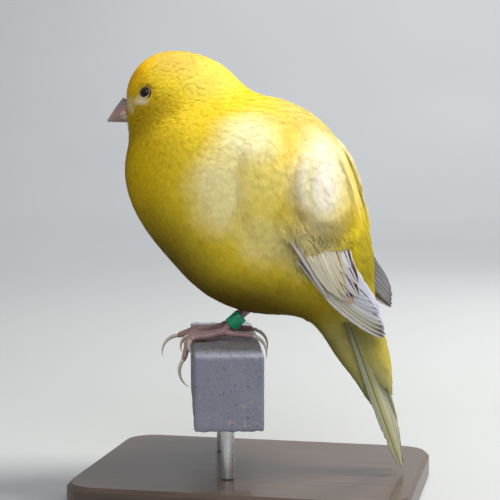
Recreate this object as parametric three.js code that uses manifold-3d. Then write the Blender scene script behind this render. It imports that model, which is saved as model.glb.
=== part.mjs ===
// A life-size still model of a fluffed-up canary on a short cut length of timber rail, which two
// rods hold over a flat base. Millimetres, +Z up. The bird looks towards -X, its left side is -Y,
// and the origin is the middle of the base's underside.
import * as THREE from "three";
import { mergeVertices } from "three/addons/utils/BufferGeometryUtils.js";
import Module from "manifold-3d";

const wasm = await Module();
wasm.setup();

// Driving dimensions
const GAP = 0.32; // clearance between touching pieces
const BASE = { length: 100, depth: 76, height: 8, corner: 10, edge: 1.2 };
const RAIL = { width: 20, height: 22, length: 70, top: 47, x: -9.4, turn: 15, edge: 0.9 };
const ROD = { radius: 2, reach: 19, sides: 20 };
const HEAD = { x: -27, y: 0, z: 119, yaw: 10 };
const EYE = { ahead: 5.8, up: 1.5, radius: 1.95, sunk: 1.15 };
const TARSUS = { length: 17, radius: 1, rise: 41, scutes: 6 };
const RING = { outer: 2.2, inner: 1.65, height: 4.4, along: 5.1 };

const rad = THREE.MathUtils.degToRad;
const vec = (x, y, z) => new THREE.Vector3(x, y, z);

// Solids: closed geometries joined and cut
function solid(geometry) {
  const bare = geometry.clone();
  bare.deleteAttribute("normal");
  bare.deleteAttribute("uv");
  const merged = mergeVertices(bare, 1e-4);
  return new wasm.Manifold(
    new wasm.Mesh({
      numProp: 3,
      vertProperties: new Float32Array(merged.attributes.position.array),
      triVerts: new Uint32Array(merged.index.array),
    }),
  );
}

function geometryOf(shape) {
  const mesh = shape.getMesh();
  const geometry = new THREE.BufferGeometry();
  geometry.setAttribute("position", new THREE.BufferAttribute(mesh.vertProperties, 3));
  geometry.setIndex(new THREE.BufferAttribute(mesh.triVerts, 1));
  geometry.computeVertexNormals();
  return geometry;
}

const largest = (shape) =>
  shape.decompose().reduce((a, b) => (b.volume() > a.volume() ? b : a));
const joined = (shapes) => shapes.reduce((a, b) => a.add(b));

// A round-ended limb: a sphere's rings laid along a curve. half(t) gives the half sizes across
// (sideways, upwards) at share t of the curve, and up is the direction that the second one follows.
function limb(curve, half, up, sides = 8, rings = 12) {
  const ball = new THREE.SphereGeometry(1, sides, rings);
  const place = ball.attributes.position;
  for (let i = 0; i < place.count; i++) {
    const t = Math.acos(THREE.MathUtils.clamp(place.getY(i), -1, 1)) / Math.PI;
    const spread = Math.hypot(place.getX(i), place.getZ(i));
    const [side, rise] = spread < 1e-6 ? [0, 0] : half(t).map((size) => size / spread);
    const along = curve.getTangentAt(t);
    const across = vec(0, 0, 0).crossVectors(up, along).normalize();
    const over = vec(0, 0, 0).crossVectors(along, across);
    const point = curve
      .getPointAt(t)
      .addScaledVector(across, place.getX(i) * side)
      .addScaledVector(over, place.getZ(i) * rise);
    place.setXYZ(i, point.x, point.y, point.z);
  }
  return facingOut(ball);
}

// A solid from a closed geometry whose faces may look inwards
function facingOut(geometry) {
  const made = solid(geometry);
  if (made.volume() > 0) return made;
  const index = geometry.index;
  for (let i = 0; i < index.count; i += 3) {
    const first = index.getX(i);
    index.setX(i, index.getX(i + 1));
    index.setX(i + 1, first);
  }
  return solid(geometry);
}

// A feather's vane: a closed slip between an upper and a lower face that are divided alike.
// place(along, across) gives a point of its upper face and the way that this face looks, with along
// from 0 at the root to 1 at the tip, and across from -1 to 1.
const ACROSS = [-1, 0, 1];
const LONG_VANE = [0, 0.34, 0.66, 0.9, 1];
const SHORT_VANE = [0, 0.5, 0.84, 1];
const TAIL_VANE = [0.1, 0.6, 0.9, 1];
function vane(place, stations, thickness) {
  const points = [];
  for (const along of stations) {
    for (const across of ACROSS) {
      const [point, way] = place(along, across);
      const under = point.clone().addScaledVector(way, -thickness * (1 - 0.35 * along));
      points.push(...point, ...under);
    }
  }
  const faces = [];
  const quad = (a, b, c, d) => faces.push(a, b, c, a, c, d);
  const top = (i, j) => (i * ACROSS.length + j) * 2;
  const low = (i, j) => top(i, j) + 1;
  const end = stations.length - 1;
  const edge = ACROSS.length - 1;
  for (let i = 0; i < end; i++) {
    for (let j = 0; j < edge; j++) {
      quad(top(i, j), top(i, j + 1), top(i + 1, j + 1), top(i + 1, j));
      quad(low(i, j), low(i + 1, j), low(i + 1, j + 1), low(i, j + 1));
    }
    quad(top(i, 0), top(i + 1, 0), low(i + 1, 0), low(i, 0));
    quad(top(i + 1, edge), top(i, edge), low(i, edge), low(i + 1, edge));
  }
  for (let j = 0; j < edge; j++) {
    quad(top(0, j + 1), top(0, j), low(0, j), low(0, j + 1));
    quad(top(end, j), top(end, j + 1), low(end, j + 1), low(end, j));
  }
  const geometry = new THREE.BufferGeometry();
  geometry.setAttribute("position", new THREE.Float32BufferAttribute(points, 3));
  geometry.setIndex(faces);
  return facingOut(geometry);
}
const vaneWidth = (along) => {
  const root = 0.5 + 0.5 * Math.min(1, along / 0.5);
  const tip = Math.max(along - 0.62, 0) / 0.38;
  return root * Math.sqrt(1 - 0.92 * tip ** 2);
};

// A drawn number between -1 and 1, the same ones on every run
let draw = 20;
function vary() {
  draw = (draw * 16807) % 2147483647;
  return (2 * draw) / 2147483647 - 1;
}

// Plumage: soft masses of feathers that flow into one another. Each is an ellipsoid with its centre
// in the bird's middle plane, its half sizes along, up and across, and its lean below the horizon.
const BLEND = 9;
const mass = (x, z, along, up, across, lean = 0) => ({
  x,
  z,
  half: [along, across, up],
  lean: rad(lean),
});
const BODY_MASSES = [
  mass(-16.5, 97.5, 23, 24, 24), // breast
  mass(-2, 84, 30.5, 26.5, 26, 50), // belly
  mass(6, 97.5, 23.5, 20, 22, 40), // back
  mass(19.5, 77, 24, 14.5, 15.5, 68), // rump
  mass(7, 66, 15, 7, 13, 20), // thighs and vent
];
const HEAD_MASSES = [
  mass(-27.4, 120.6, 11.3, 11.6, 10.6), // crown and forehead
  mass(-18, 119.5, 12.6, 11.2, 11.5, 14), // nape
  mass(-26.6, 114, 9.6, 8, 9.6, 30), // cheeks and chin
];

function ellipsoidDistance(point, { x, z, half, lean }) {
  const dx = point.x - x;
  const dz = point.z - z;
  const local = [
    dx * Math.cos(lean) - dz * Math.sin(lean),
    point.y,
    dx * Math.sin(lean) + dz * Math.cos(lean),
  ];
  const near = Math.hypot(...local.map((v, i) => v / half[i]));
  const slope = Math.hypot(...local.map((v, i) => v / half[i] ** 2));
  return slope < 1e-9 ? -Math.min(...half) : (near * (near - 1)) / slope;
}

function softUnion(a, b) {
  const h = Math.max(BLEND - Math.abs(a - b), 0) / BLEND;
  return Math.min(a, b) - (h * h * BLEND) / 4;
}

// The head's own frame: its middle at HEAD, turned towards the bird's left
const headFrame = new THREE.Matrix4()
  .makeTranslation(HEAD.x, HEAD.y, HEAD.z)
  .multiply(new THREE.Matrix4().makeRotationZ(rad(HEAD.yaw)));
const fromHead = (x, y, z) => vec(x, y, z).applyMatrix4(headFrame);
const toHead = headFrame.clone().invert();
const HEAD_MIDDLE = vec(HEAD.x, 0, HEAD.z);

// Distance from a point to the plumage's surface, below zero inside
function plumage(point) {
  const turned = point.clone().applyMatrix4(toHead).add(HEAD_MIDDLE);
  const distances = [
    ...BODY_MASSES.map((m) => ellipsoidDistance(point, m)),
    ...HEAD_MASSES.map((m) => ellipsoidDistance(turned, m)),
  ];
  return distances.reduce(softUnion);
}

// The plumage as a closed surface, swollen by some clearance, as seen from a point inside it
function plumageFrom(centre, detail, swell = 0, reach = 110) {
  const sphere = new THREE.IcosahedronGeometry(1, detail);
  const place = sphere.attributes.position;
  for (let i = 0; i < place.count; i++) {
    const way = vec(0, 0, 0).fromBufferAttribute(place, i).normalize();
    let [inside, outside] = [1, reach];
    for (let step = 0; step < 22; step++) {
      const middle = (inside + outside) / 2;
      const point = centre.clone().addScaledVector(way, middle);
      if (plumage(point) < swell) inside = middle;
      else outside = middle;
    }
    way.multiplyScalar(inside).add(centre);
    place.setXYZ(i, way.x, way.y, way.z);
  }
  return solid(sphere);
}

const TORSO_CORE = vec(2, 0, 86);
const NECK_CORE = vec(-20, 0, 108);
const HEAD_CORE = vec(-25, 0, 117);

// Half-spaces that part head, neck and torso, each a slab's big neighbour across the middle plane
function above(low, high, lift) {
  const slope = Math.atan2(high.z - low.z, high.x - low.x);
  const block = new THREE.BoxGeometry(200, 200, 100);
  block.translate(0, 0, 50 + lift);
  block.rotateY(-slope);
  block.translate((low.x + high.x) / 2, 0, (low.z + high.z) / 2);
  return solid(block);
}
const HEAD_CUT = [vec(-38.5, 0, 110.6), vec(-13, 0, 130)];
const NECK_CUT = [vec(-40.5, 0, 103), vec(-2.5, 0, 120.5)];

// How finely each is divided, and the same surfaces swollen by the gap, to cut what stands on them
const DETAIL = { torso: 9, neck: 7, head: 8 };
const swollen = plumageFrom(TORSO_CORE, DETAIL.torso, GAP);
const swollenHead = plumageFrom(HEAD_CORE, DETAIL.head, GAP);

// The way that the plumage's surface looks at a point
function outward(point) {
  const step = 0.2;
  const slope = (x, y, z) =>
    plumage(point.clone().add(vec(x, y, z))) - plumage(point.clone().sub(vec(x, y, z)));
  return vec(slope(step, 0, 0), slope(0, step, 0), slope(0, 0, step)).normalize();
}

// Eyes, each sunk in the plumage's side
function eyeOpening(side) {
  let [inside, outside] = [2, 20];
  for (let step = 0; step < 22; step++) {
    const middle = (inside + outside) / 2;
    if (plumage(fromHead(-EYE.ahead, side * middle, EYE.up)) < 0) inside = middle;
    else outside = middle;
  }
  return fromHead(-EYE.ahead, side * inside, EYE.up);
}
function eyeCentre(side) {
  const opening = eyeOpening(side);
  return opening.addScaledVector(outward(opening), -EYE.sunk);
}
function eye(side, grow = 0) {
  const ball = new THREE.SphereGeometry(EYE.radius + grow, 12, 9);
  return solid(ball.translate(...eyeCentre(side)));
}

// Bill: one stout cone with a curved ridge, parted along the line of the mouth
const BILL_TIP = vec(-18.3, 0, -6.9);
const BILL_FALL = 27;
const BILL_LENGTH = 9.5;
const BILL_NARROW = 0.86; // its width as a share of its height
const billRoot = vec(Math.cos(rad(BILL_FALL)), 0, Math.sin(rad(BILL_FALL)))
  .multiplyScalar(BILL_LENGTH)
  .add(BILL_TIP);
const billHalf = (t) => {
  const back = BILL_LENGTH * (1 - t);
  const size = Math.sqrt(0.16 + (0.67 * back - 0.017 * back ** 2) ** 2) * Math.min(1, back / 0.25);
  const root = Math.min(1, t * 5);
  return [size * BILL_NARROW * root, size * root];
};
const bill = limb(
  new THREE.LineCurve3(fromHead(...billRoot), fromHead(...BILL_TIP)),
  billHalf,
  vec(0, 0, 1),
  12,
  10,
).subtract(swollenHead);
const MOUTH = { x: -18.6, z: -6.75, slope: 16, length: 30, width: 20 };
function mouthLine() {
  const slab = new THREE.BoxGeometry(MOUTH.length, MOUTH.width, GAP);
  slab.translate(MOUTH.length / 2, 0, 0);
  slab.rotateY(rad(-MOUTH.slope));
  slab.applyMatrix4(new THREE.Matrix4().makeTranslation(MOUTH.x, 0, MOUTH.z));
  slab.applyMatrix4(headFrame);
  return solid(slab);
}
const NOSTRIL = { radius: 0.42, x: -13.9, y: 1.75, z: -1.6 };
function nostril(side) {
  const pit = new THREE.SphereGeometry(NOSTRIL.radius, 6, 4);
  const at = fromHead(NOSTRIL.x, side * NOSTRIL.y, NOSTRIL.z);
  pit.translate(at.x, at.y, at.z);
  return solid(pit);
}
const mandibles = bill
  .subtract(mouthLine())
  .decompose()
  .filter((piece) => piece.volume() > 1)
  .sort((a, b) => b.boundingBox().max[2] - a.boundingBox().max[2]);
const billUpper = largest(mandibles[0].subtract(nostril(-1)).subtract(nostril(1)));
const billLower = mandibles[1];

// Lids: a raised rim round each eye, a little wider than high
const LID = { share: 0.84, thick: 0.45, wide: 1.04, high: 0.96 };
function lid(side) {
  const opening = eyeOpening(side);
  const rim = new THREE.TorusGeometry(EYE.radius * LID.share, LID.thick, 5, 14);
  rim.scale(LID.wide, LID.high, 1);
  rim.lookAt(outward(opening));
  return solid(rim.translate(...opening));
}

const head = largest(
  joined([plumageFrom(HEAD_CORE, DETAIL.head), lid(-1), lid(1)])
    .intersect(above(...HEAD_CUT, GAP / 2))
    .subtract(eye(-1, GAP))
    .subtract(eye(1, GAP)),
);
const neck = largest(
  plumageFrom(NECK_CORE, DETAIL.neck)
    .intersect(above(...NECK_CUT, GAP / 2))
    .subtract(above(...HEAD_CUT, -GAP / 2)),
);
const torso = largest(plumageFrom(TORSO_CORE, DETAIL.torso).subtract(above(...NECK_CUT, -GAP / 2)));

// Wings. A feather is laid out by x and z on the sheet that the folded wing makes: this follows
// the body's side, and runs on past it towards the tail as a slanting plane that bends in high up.
const SHEET = { out: 6.9, aft: -0.314, up: 0.2685, bend: 0.014, blend: 3 };
const SHEET_BEND = { x: 20, z: 66, slope: 0.5 };
const SHOULDER = 106;
const RIGHT_WING_RAISE = 0.12; // the right wing is folded higher, by this share of the way down
const raised = (z, side) => (side > 0 ? z + RIGHT_WING_RAISE * (SHOULDER - z) : z);
function bodySide(x, z) {
  let [inside, outside] = [0, 40];
  for (let step = 0; step < 16; step++) {
    const middle = (inside + outside) / 2;
    if (plumage(vec(x, middle, z)) < 0) inside = middle;
    else outside = middle;
  }
  return inside;
}
function wingSheet(x, z, side) {
  const over = Math.max(0, z - SHEET_BEND.z + SHEET_BEND.slope * (x - SHEET_BEND.x));
  const past = SHEET.out + SHEET.aft * x + SHEET.up * z - SHEET.bend * over ** 2;
  const body = bodySide(x, raised(z, side)) + GAP;
  const h = Math.max(SHEET.blend - Math.abs(past - body), 0) / SHEET.blend;
  return Math.max(past, body) + (h * h * SHEET.blend) / 4;
}

// Rows of a wing's feathers, from the front edge back: their number, the first and last root, the
// line of their tips, the first and last half width, how high they lie, and their bow
const WING_ROWS = [
  {
    // primaries
    count: 6,
    stations: LONG_VANE,
    roots: [[15, 76.5], [24, 79]],
    tips: [[40.2, 49.3], [40.4, 51.6], [40, 54], [38.8, 57], [37.1, 60], [35, 62.4]],
    half: [2.4, 3],
    lift: 1.2,
    thick: 0.95,
    bow: 1.8,
  },
  {
    // tertials
    count: 3,
    stations: LONG_VANE,
    roots: [[22, 81], [25, 86]],
    tips: [[33.4, 62.2], [33.2, 65.6], [31.8, 70.5]],
    half: [3.2, 2.9],
    lift: 2.2,
    thick: 1.4,
    bow: 1,
  },
  {
    // primary coverts
    count: 2,
    stations: SHORT_VANE,
    roots: [[9.5, 89], [14, 89]],
    tips: [[18, 72.8], [22, 70.4]],
    half: [2.2, 2.4],
    lift: 2,
    thick: 1.6,
    bow: 0.8,
  },
  {
    // greater coverts
    count: 4,
    stations: SHORT_VANE,
    roots: [[14.3, 89], [24.2, 91]],
    tips: [[22, 70.4], [25.5, 70.3], [28.2, 73], [29.8, 77]],
    half: [2.9, 3.2],
    lift: 2.5,
    thick: 2.2,
    bow: 0.6,
  },
  {
    // median coverts
    count: 4,
    stations: SHORT_VANE,
    roots: [[13.2, 98], [22.2, 100]],
    tips: [[18, 79.8], [21.5, 79.2], [25, 80.8], [27.6, 84.6]],
    half: [3, 3.3],
    lift: 2.9,
    thick: 2.6,
    bow: 0.4,
  },
  {
    // lesser coverts
    count: 3,
    stations: SHORT_VANE,
    roots: [[15, 108], [20, 109]],
    tips: [[18, 90.2], [22.5, 90], [26, 94]],
    half: [3.6, 3.6],
    lift: 3.2,
    thick: 3,
    bow: 0.2,
  },
];
const SHINGLE = 0.35; // how much a vane's front edge stands over the next one's back edge
const RIB = 0.3; // how much the shaft stands over the edges
const ROOT_SUNK = 1.5; // how deep the roots lie under the sheet
const UNEVEN = { tip: 0.3, width: 0.05 }; // how much the feathers of a row differ
function wingVane(side, row, share) {
  const tips = new THREE.CatmullRomCurve3(row.tips.map(([x, z]) => vec(x, 0, z)));
  const tip = tips.getPoint(share).add(vec(vary() * UNEVEN.tip, 0, vary() * UNEVEN.tip));
  const [first, last] = row.roots.map(([x, z]) => vec(x, 0, z));
  const root = first.lerp(last, share);
  const half = THREE.MathUtils.lerp(...row.half, share) * (1 + UNEVEN.width * vary());
  const across = vec(tip.z - root.z, 0, root.x - tip.x).normalize().negate();
  const place = (along, q) => {
    const point = root.clone().lerp(tip, along);
    const bow = -row.bow * (1 - share * 0.5) * Math.sin(Math.PI * along);
    point.addScaledVector(across, q * half * vaneWidth(along) + bow);
    const { x, z } = point;
    const step = 0.4;
    const y = wingSheet(x, z, side);
    const way = vec(
      y - wingSheet(x + step, z, side),
      side * step,
      y - wingSheet(x, z + step, side),
    ).normalize();
    const rise = THREE.MathUtils.smoothstep(along, 0, 0.5);
    const lift = THREE.MathUtils.lerp(-ROOT_SUNK, row.lift, rise) - SHINGLE * q - RIB * q * q;
    return [vec(x, side * y, raised(z, side)).addScaledVector(way, lift), way];
  };
  return vane(place, row.stations, row.thick);
}
function wing(side) {
  const vanes = WING_ROWS.flatMap((row) =>
    Array.from({ length: row.count }, (_, i) => wingVane(side, row, i / (row.count - 1))),
  );
  return largest(joined(vanes).subtract(swollen));
}

// Tail: twelve feathers in a steep roof, six to a side, the middle pair on top and the outer ones
// longest, with soft coverts over and under its root
const TAIL = { fall: 69.5, count: 6, half: 2.2, thick: 0.75, tilt: { "-1": 43, 1: 50 } };
const TAIL_LENGTH = [37, 48]; // of the middle and of the outer feathers
const TAIL_OUT = { root: [1.3, 5.6], tip: [1.5, 5.9] }; // their middles' distance from the ridge
const TAIL_RISE = { middle: 1.2, tilt: 0.2, arch: 0.15, uneven: 0.4 };
const TAIL_ROOT = vec(31.5, 0, 57);
const tailWay = vec(Math.cos(rad(TAIL.fall)), 0, -Math.sin(rad(TAIL.fall)));
const tailUp = vec(-tailWay.z, 0, tailWay.x);
function tailVane(side, share) {
  const { lerp } = THREE.MathUtils;
  const tilt = rad(TAIL.tilt[side]);
  const down = tailUp.clone().multiplyScalar(-Math.sin(tilt)).add(vec(0, side * Math.cos(tilt), 0));
  const up = vec(0, 0, 0).crossVectors(tailWay, down).multiplyScalar(-side);
  const length = lerp(...TAIL_LENGTH, share) + TAIL_RISE.uneven * vary();
  const place = (along, q) => {
    const out = lerp(lerp(...TAIL_OUT.root, share), lerp(...TAIL_OUT.tip, share), along);
    const point = TAIL_ROOT.clone()
      .addScaledVector(tailWay, length * along)
      .addScaledVector(down, out + q * TAIL.half * vaneWidth(along));
    const lift = (1 - share) * TAIL_RISE.middle + TAIL_RISE.tilt * q - TAIL_RISE.arch * q * q;
    return [point.addScaledVector(up, lift), up];
  };
  return vane(place, TAIL_VANE, TAIL.thick);
}
const TAIL_COVERTS = [
  {
    core: [[26, 0, 60], [31.5, 0, 47], [38, 0, 30]],
    core_half: [3, 2.6],
    way: [1, 0, 0],
    vanes: [],
  },
  {
    core: [[30.5, 0, 64], [34.8, 0, 50], [38.4, 0, 39.5]],
    core_half: [4.4, 2.6],
    way: [0.95, 0, 0.3],
    vanes: [
      [[32, 0, 62], [39.3, 0, 37], 3],
      [[32, 2, 62], [38.2, 2.6, 40.5], 2.6],
      [[32, -2, 62], [38.2, -2.6, 40], 2.6],
      [[34, 0, 64], [37.9, 0, 46.5], 3.4],
    ],
  },
  {
    core: [[20.5, 0, 58], [26.5, 0, 47], [31, 0, 39.5]],
    core_half: [3.8, 3.8],
    way: [-0.85, 0, -0.53],
    vanes: [
      [[22, 0, 57], [31.3, 0, 37.2], 3],
      [[19, 2, 57], [27.4, 2.2, 40.2], 2.8],
      [[19, -2, 57], [27.8, -2.2, 40], 2.8],
      [[16.5, 0, 57], [24.5, 0, 43.2], 3.2],
      [[14.5, 0, 57], [21.8, 0, 46.4], 3],
    ],
  },
];
const COVERT = { thick: 1.6, arch: 0.6 };
function covertVane(root, tip, half, way) {
  const place = (along, q) => {
    const point = root.clone().lerp(tip, along);
    point.y += q * half * vaneWidth(along);
    const bulge = Math.sin(Math.PI * along) - COVERT.arch * q * q;
    return [point.addScaledVector(way, bulge), way];
  };
  return vane(place, SHORT_VANE, COVERT.thick);
}
function tail() {
  const pieces = [];
  for (const side of [-1, 1]) {
    for (let i = 0; i < TAIL.count; i++) pieces.push(tailVane(side, i / (TAIL.count - 1)));
  }
  for (const { core, core_half: size, way, vanes } of TAIL_COVERTS) {
    const taper = (t) => size.map((s) => s * Math.sqrt(Math.sin(Math.PI * Math.min(t, 0.98))));
    const line = new THREE.CatmullRomCurve3(core.map((p) => vec(...p)));
    pieces.push(limb(line, taper, tailUp, 8, 7));
    for (const [root, tip, half] of vanes) {
      pieces.push(covertVane(vec(...root), vec(...tip), half, vec(...way).normalize()));
    }
  }
  return largest(joined(pieces).subtract(swollen));
}

// Legs and feet
const railTurn = new THREE.Matrix4()
  .makeTranslation(RAIL.x, 0, RAIL.top)
  .multiply(new THREE.Matrix4().makeRotationZ(rad(RAIL.turn)));
const onRail = (x, y, z) => vec(x, y, z).applyMatrix4(railTurn);
const FOOT = { spread: 7, ahead: -0.3, stagger: 0.6, height: 2.7 };
const footAhead = (side) => FOOT.ahead + side * FOOT.stagger;
const legFoot = (side) => onRail(footAhead(side), side * FOOT.spread, FOOT.height);
const legWay = vec(
  Math.cos(rad(TARSUS.rise)) * Math.cos(rad(RAIL.turn)),
  Math.cos(rad(TARSUS.rise)) * Math.sin(rad(RAIL.turn)),
  Math.sin(rad(TARSUS.rise)),
);

// Each toe leaves the ankle at its splay from straight ahead, lies flat for a while, then droops
const TOES = {
  "-1": {
    inner: { splay: 22, length: 11.5, flat: 8, droop: 40, claw: 7, lift: 20 },
    middle: { splay: 0, length: 17.5, flat: 7.4, droop: 76, claw: 10.3, lift: 28 },
    outer: { splay: -20, length: 11, flat: 7.6, droop: 62, claw: 5.8, lift: 0 },
    hind: { splay: 183, length: 9, flat: 5, droop: 8, claw: 10, lift: 0 },
  },
  1: {
    inner: { splay: -20, length: 11.5, flat: 8, droop: 45, claw: 7, lift: 20 },
    middle: { splay: -3, length: 15.6, flat: 7.5, droop: 22, claw: 9.4, lift: 22 },
    outer: { splay: 20, length: 12, flat: 8, droop: 45, claw: 7, lift: 20 },
    hind: { splay: 178, length: 9, flat: 5, droop: 8, claw: 10, lift: 0 },
  },
};
const TOE_NAMES = ["inner", "middle", "outer", "hind"];
const BEND = 4.5; // length of toe over which it droops
const STEP_DOWN = { angle: 13, from: 2, to: 7.5 }; // toes come down from the ankle to the rail
function toeCurve(side, name) {
  const { splay, length, flat, droop } = TOES[side][name];
  const point = vec(footAhead(side), side * FOOT.spread, FOOT.height);
  const points = [onRail(...point)];
  const steps = 14;
  for (let i = 0; i < steps; i++) {
    const s = (length * (i + 0.5)) / steps;
    const settle = 1 - THREE.MathUtils.smoothstep(s, STEP_DOWN.from, STEP_DOWN.to);
    const pitch =
      rad(STEP_DOWN.angle) * settle + rad(droop) * THREE.MathUtils.smoothstep(s, flat, flat + BEND);
    const way = vec(
      -Math.cos(rad(splay)) * Math.cos(pitch),
      Math.sin(rad(splay)) * Math.cos(pitch),
      -Math.sin(pitch),
    );
    point.addScaledVector(way, length / steps);
    points.push(onRail(...point));
  }
  return new THREE.CatmullRomCurve3(points);
}
const SCUTE = 0.13; // how much each plate stands out at its lower edge
const scuted = (t, plates) => 1 + SCUTE * ((t * plates) % 1);
const TOE = { root: 1.16, taper: 0.3, flat: 0.95, scutes: 4 };
const toeHalf = (t) => {
  const end = Math.min(1, Math.sqrt(Math.min(t, 1 - t) * 12));
  const size = (TOE.root - TOE.taper * t) * scuted(t, TOE.scutes) * end;
  return [size, size * TOE.flat];
};
const ANKLE = 1.4;
function foot(side, grow = 0) {
  const half = (t) => toeHalf(t).map((size) => (size > 0 ? size + grow : 0));
  const ankle = new THREE.IcosahedronGeometry(ANKLE + grow, 1);
  const toes = TOE_NAMES.map((name) => limb(toeCurve(side, name), half, vec(0, 0, 1), 6, 13));
  return largest(joined([solid(ankle.translate(...legFoot(side))), ...toes]));
}

const CLAW = { root: 0.82, turn: 108, from: 0.94, flat: 0.75 };
function claw(side, name) {
  const toe = toeCurve(side, name);
  const start = toe.getPointAt(CLAW.from);
  const way = toe.getTangentAt(1);
  way.applyAxisAngle(vec(-way.y, way.x, 0).normalize(), rad(-TOES[side][name].lift));
  const radius = TOES[side][name].claw / rad(CLAW.turn);
  const across = vec(way.y, -way.x, 0).normalize();
  const down = vec(0, 0, 0).crossVectors(way, across);
  if (down.z > 0) down.negate();
  const points = [];
  for (let i = 0; i <= 6; i++) {
    const bend = rad((CLAW.turn * i) / 6);
    const point = start.clone().addScaledVector(way, Math.sin(bend) * radius);
    points.push(point.addScaledVector(down, (1 - Math.cos(bend)) * radius));
  }
  const half = (t) => {
    const size = CLAW.root * (t < 0.06 ? t / 0.06 : 1 - ((t - 0.06) / 0.94) ** 1.6);
    return [size * CLAW.flat, size];
  };
  return limb(new THREE.CatmullRomCurve3(points), half, across, 5, 8);
}

const feet = {};
const grownFeet = {};
const claws = {};
for (const side of [-1, 1]) {
  feet[side] = foot(side);
  grownFeet[side] = foot(side, GAP);
  for (const name of TOE_NAMES) claws[side + name] = claw(side, name);
}

function tarsus(side) {
  const low = legFoot(side);
  const curve = new THREE.LineCurve3(
    low.clone().addScaledVector(legWay, 0.2),
    low.clone().addScaledVector(legWay, TARSUS.length),
  );
  const half = (t) => {
    const end = Math.min(1, Math.sqrt(t * (1 - t) * 30));
    const size = TARSUS.radius * scuted(1 - t, TARSUS.scutes) * end;
    return [size, size];
  };
  return limb(curve, half, vec(0, 0, 1), 8, 20);
}

function leg(side) {
  return largest(tarsus(side).subtract(swollen).subtract(grownFeet[side]));
}

function legRing() {
  const profile = [
    [RING.inner, -RING.height / 2],
    [RING.outer, -RING.height / 2],
    [RING.outer, RING.height / 2],
    [RING.inner, RING.height / 2],
    [RING.inner, -RING.height / 2],
  ].map(([x, y]) => new THREE.Vector2(x, y));
  const band = new THREE.LatheGeometry(profile, 24);
  band.applyQuaternion(new THREE.Quaternion().setFromUnitVectors(vec(0, 1, 0), legWay));
  const at = legFoot(-1).addScaledVector(legWay, RING.along);
  band.translate(at.x, at.y, at.z);
  return solid(band);
}

// Rail, rods and base
function slab(length, depth, height, corner, edge) {
  const [x, y] = [length / 2, depth / 2];
  const outline = new THREE.Shape();
  outline.moveTo(-x + corner, -y);
  outline.lineTo(x - corner, -y);
  outline.absarc(x - corner, -y + corner, corner, -Math.PI / 2, 0);
  outline.absarc(x - corner, y - corner, corner, 0, Math.PI / 2);
  outline.absarc(-x + corner, y - corner, corner, Math.PI / 2, Math.PI);
  outline.absarc(-x + corner, -y + corner, corner, Math.PI, Math.PI * 1.5);
  return new THREE.ExtrudeGeometry(outline, {
    depth: height - edge * 2,
    bevelThickness: edge,
    bevelSize: edge,
    bevelOffset: -edge,
    bevelSegments: 1,
    curveSegments: 4,
  }).translate(0, 0, edge);
}
function rail() {
  const timber = slab(RAIL.width, RAIL.height, RAIL.length, RAIL.edge, 0.6);
  timber.translate(0, RAIL.height / 2, -RAIL.length / 2);
  timber.rotateX(rad(90));
  timber.translate(0, 0, -RAIL.height);
  timber.applyMatrix4(railTurn);
  return solid(timber);
}
const rodAt = (side) => onRail(0, side * ROD.reach, 0);
function rod(side) {
  const low = BASE.height + GAP;
  const high = RAIL.top - RAIL.height - GAP;
  const bar = new THREE.CylinderGeometry(ROD.radius, ROD.radius, high - low, ROD.sides);
  bar.rotateX(rad(90));
  const at = rodAt(side);
  bar.translate(at.x, at.y, (low + high) / 2);
  return solid(bar);
}

// Finishes
const finish = (color, roughness, metalness = 0) =>
  new THREE.MeshStandardMaterial({ color, roughness, metalness });
const yellow = finish(0xe8cf3a, 0.85);
const cream = finish(0xe6dda0, 0.8);
const horn = finish(0xc9a79a, 0.45);
const skin = finish(0xc79a92, 0.6);
const clawHorn = finish(0xd8cdb8, 0.4);
const dark = finish(0x120a08, 0.1);
const green = finish(0x0f8a5c, 0.35);
const timber = finish(0x6d7480, 0.9);
const baseWood = finish(0x2c2622, 0.5);
const steel = finish(0xb8babd, 0.3, 1);

const bird = new THREE.Group();
function add(name, shape, material) {
  const mesh = new THREE.Mesh(geometryOf(shape), material);
  mesh.name = name;
  bird.add(mesh);
}
add("torso", torso, yellow);
add("neck", neck, yellow);
add("head", head, yellow);
add("bill_upper", billUpper, horn);
add("bill_lower", billLower, horn);
add("tail", tail(), cream);
for (const [side, word] of [
  [-1, "left"],
  [1, "right"],
]) {
  add("eye_" + word, eye(side), dark);
  add("wing_" + word, wing(side), cream);
  add("leg_" + word, leg(side), skin);
  add("foot_" + word, feet[side], skin);
  for (const name of TOE_NAMES) {
    add("claw_" + word + "_" + name, largest(claws[side + name].subtract(grownFeet[side])), clawHorn);
  }
}
add("leg_ring", legRing(), green);
add("perch_rail", rail(), timber);
add("stand_base", solid(slab(BASE.length, BASE.depth, BASE.height, BASE.corner, BASE.edge)), baseWood);
add("stand_rod_front", rod(-1), steel);
add("stand_rod_back", rod(1), steel);

export default bird;
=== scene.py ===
"""A life-size still model of a fluffed-up canary that grips a short cut of rail on a display stand."""

import math

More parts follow.
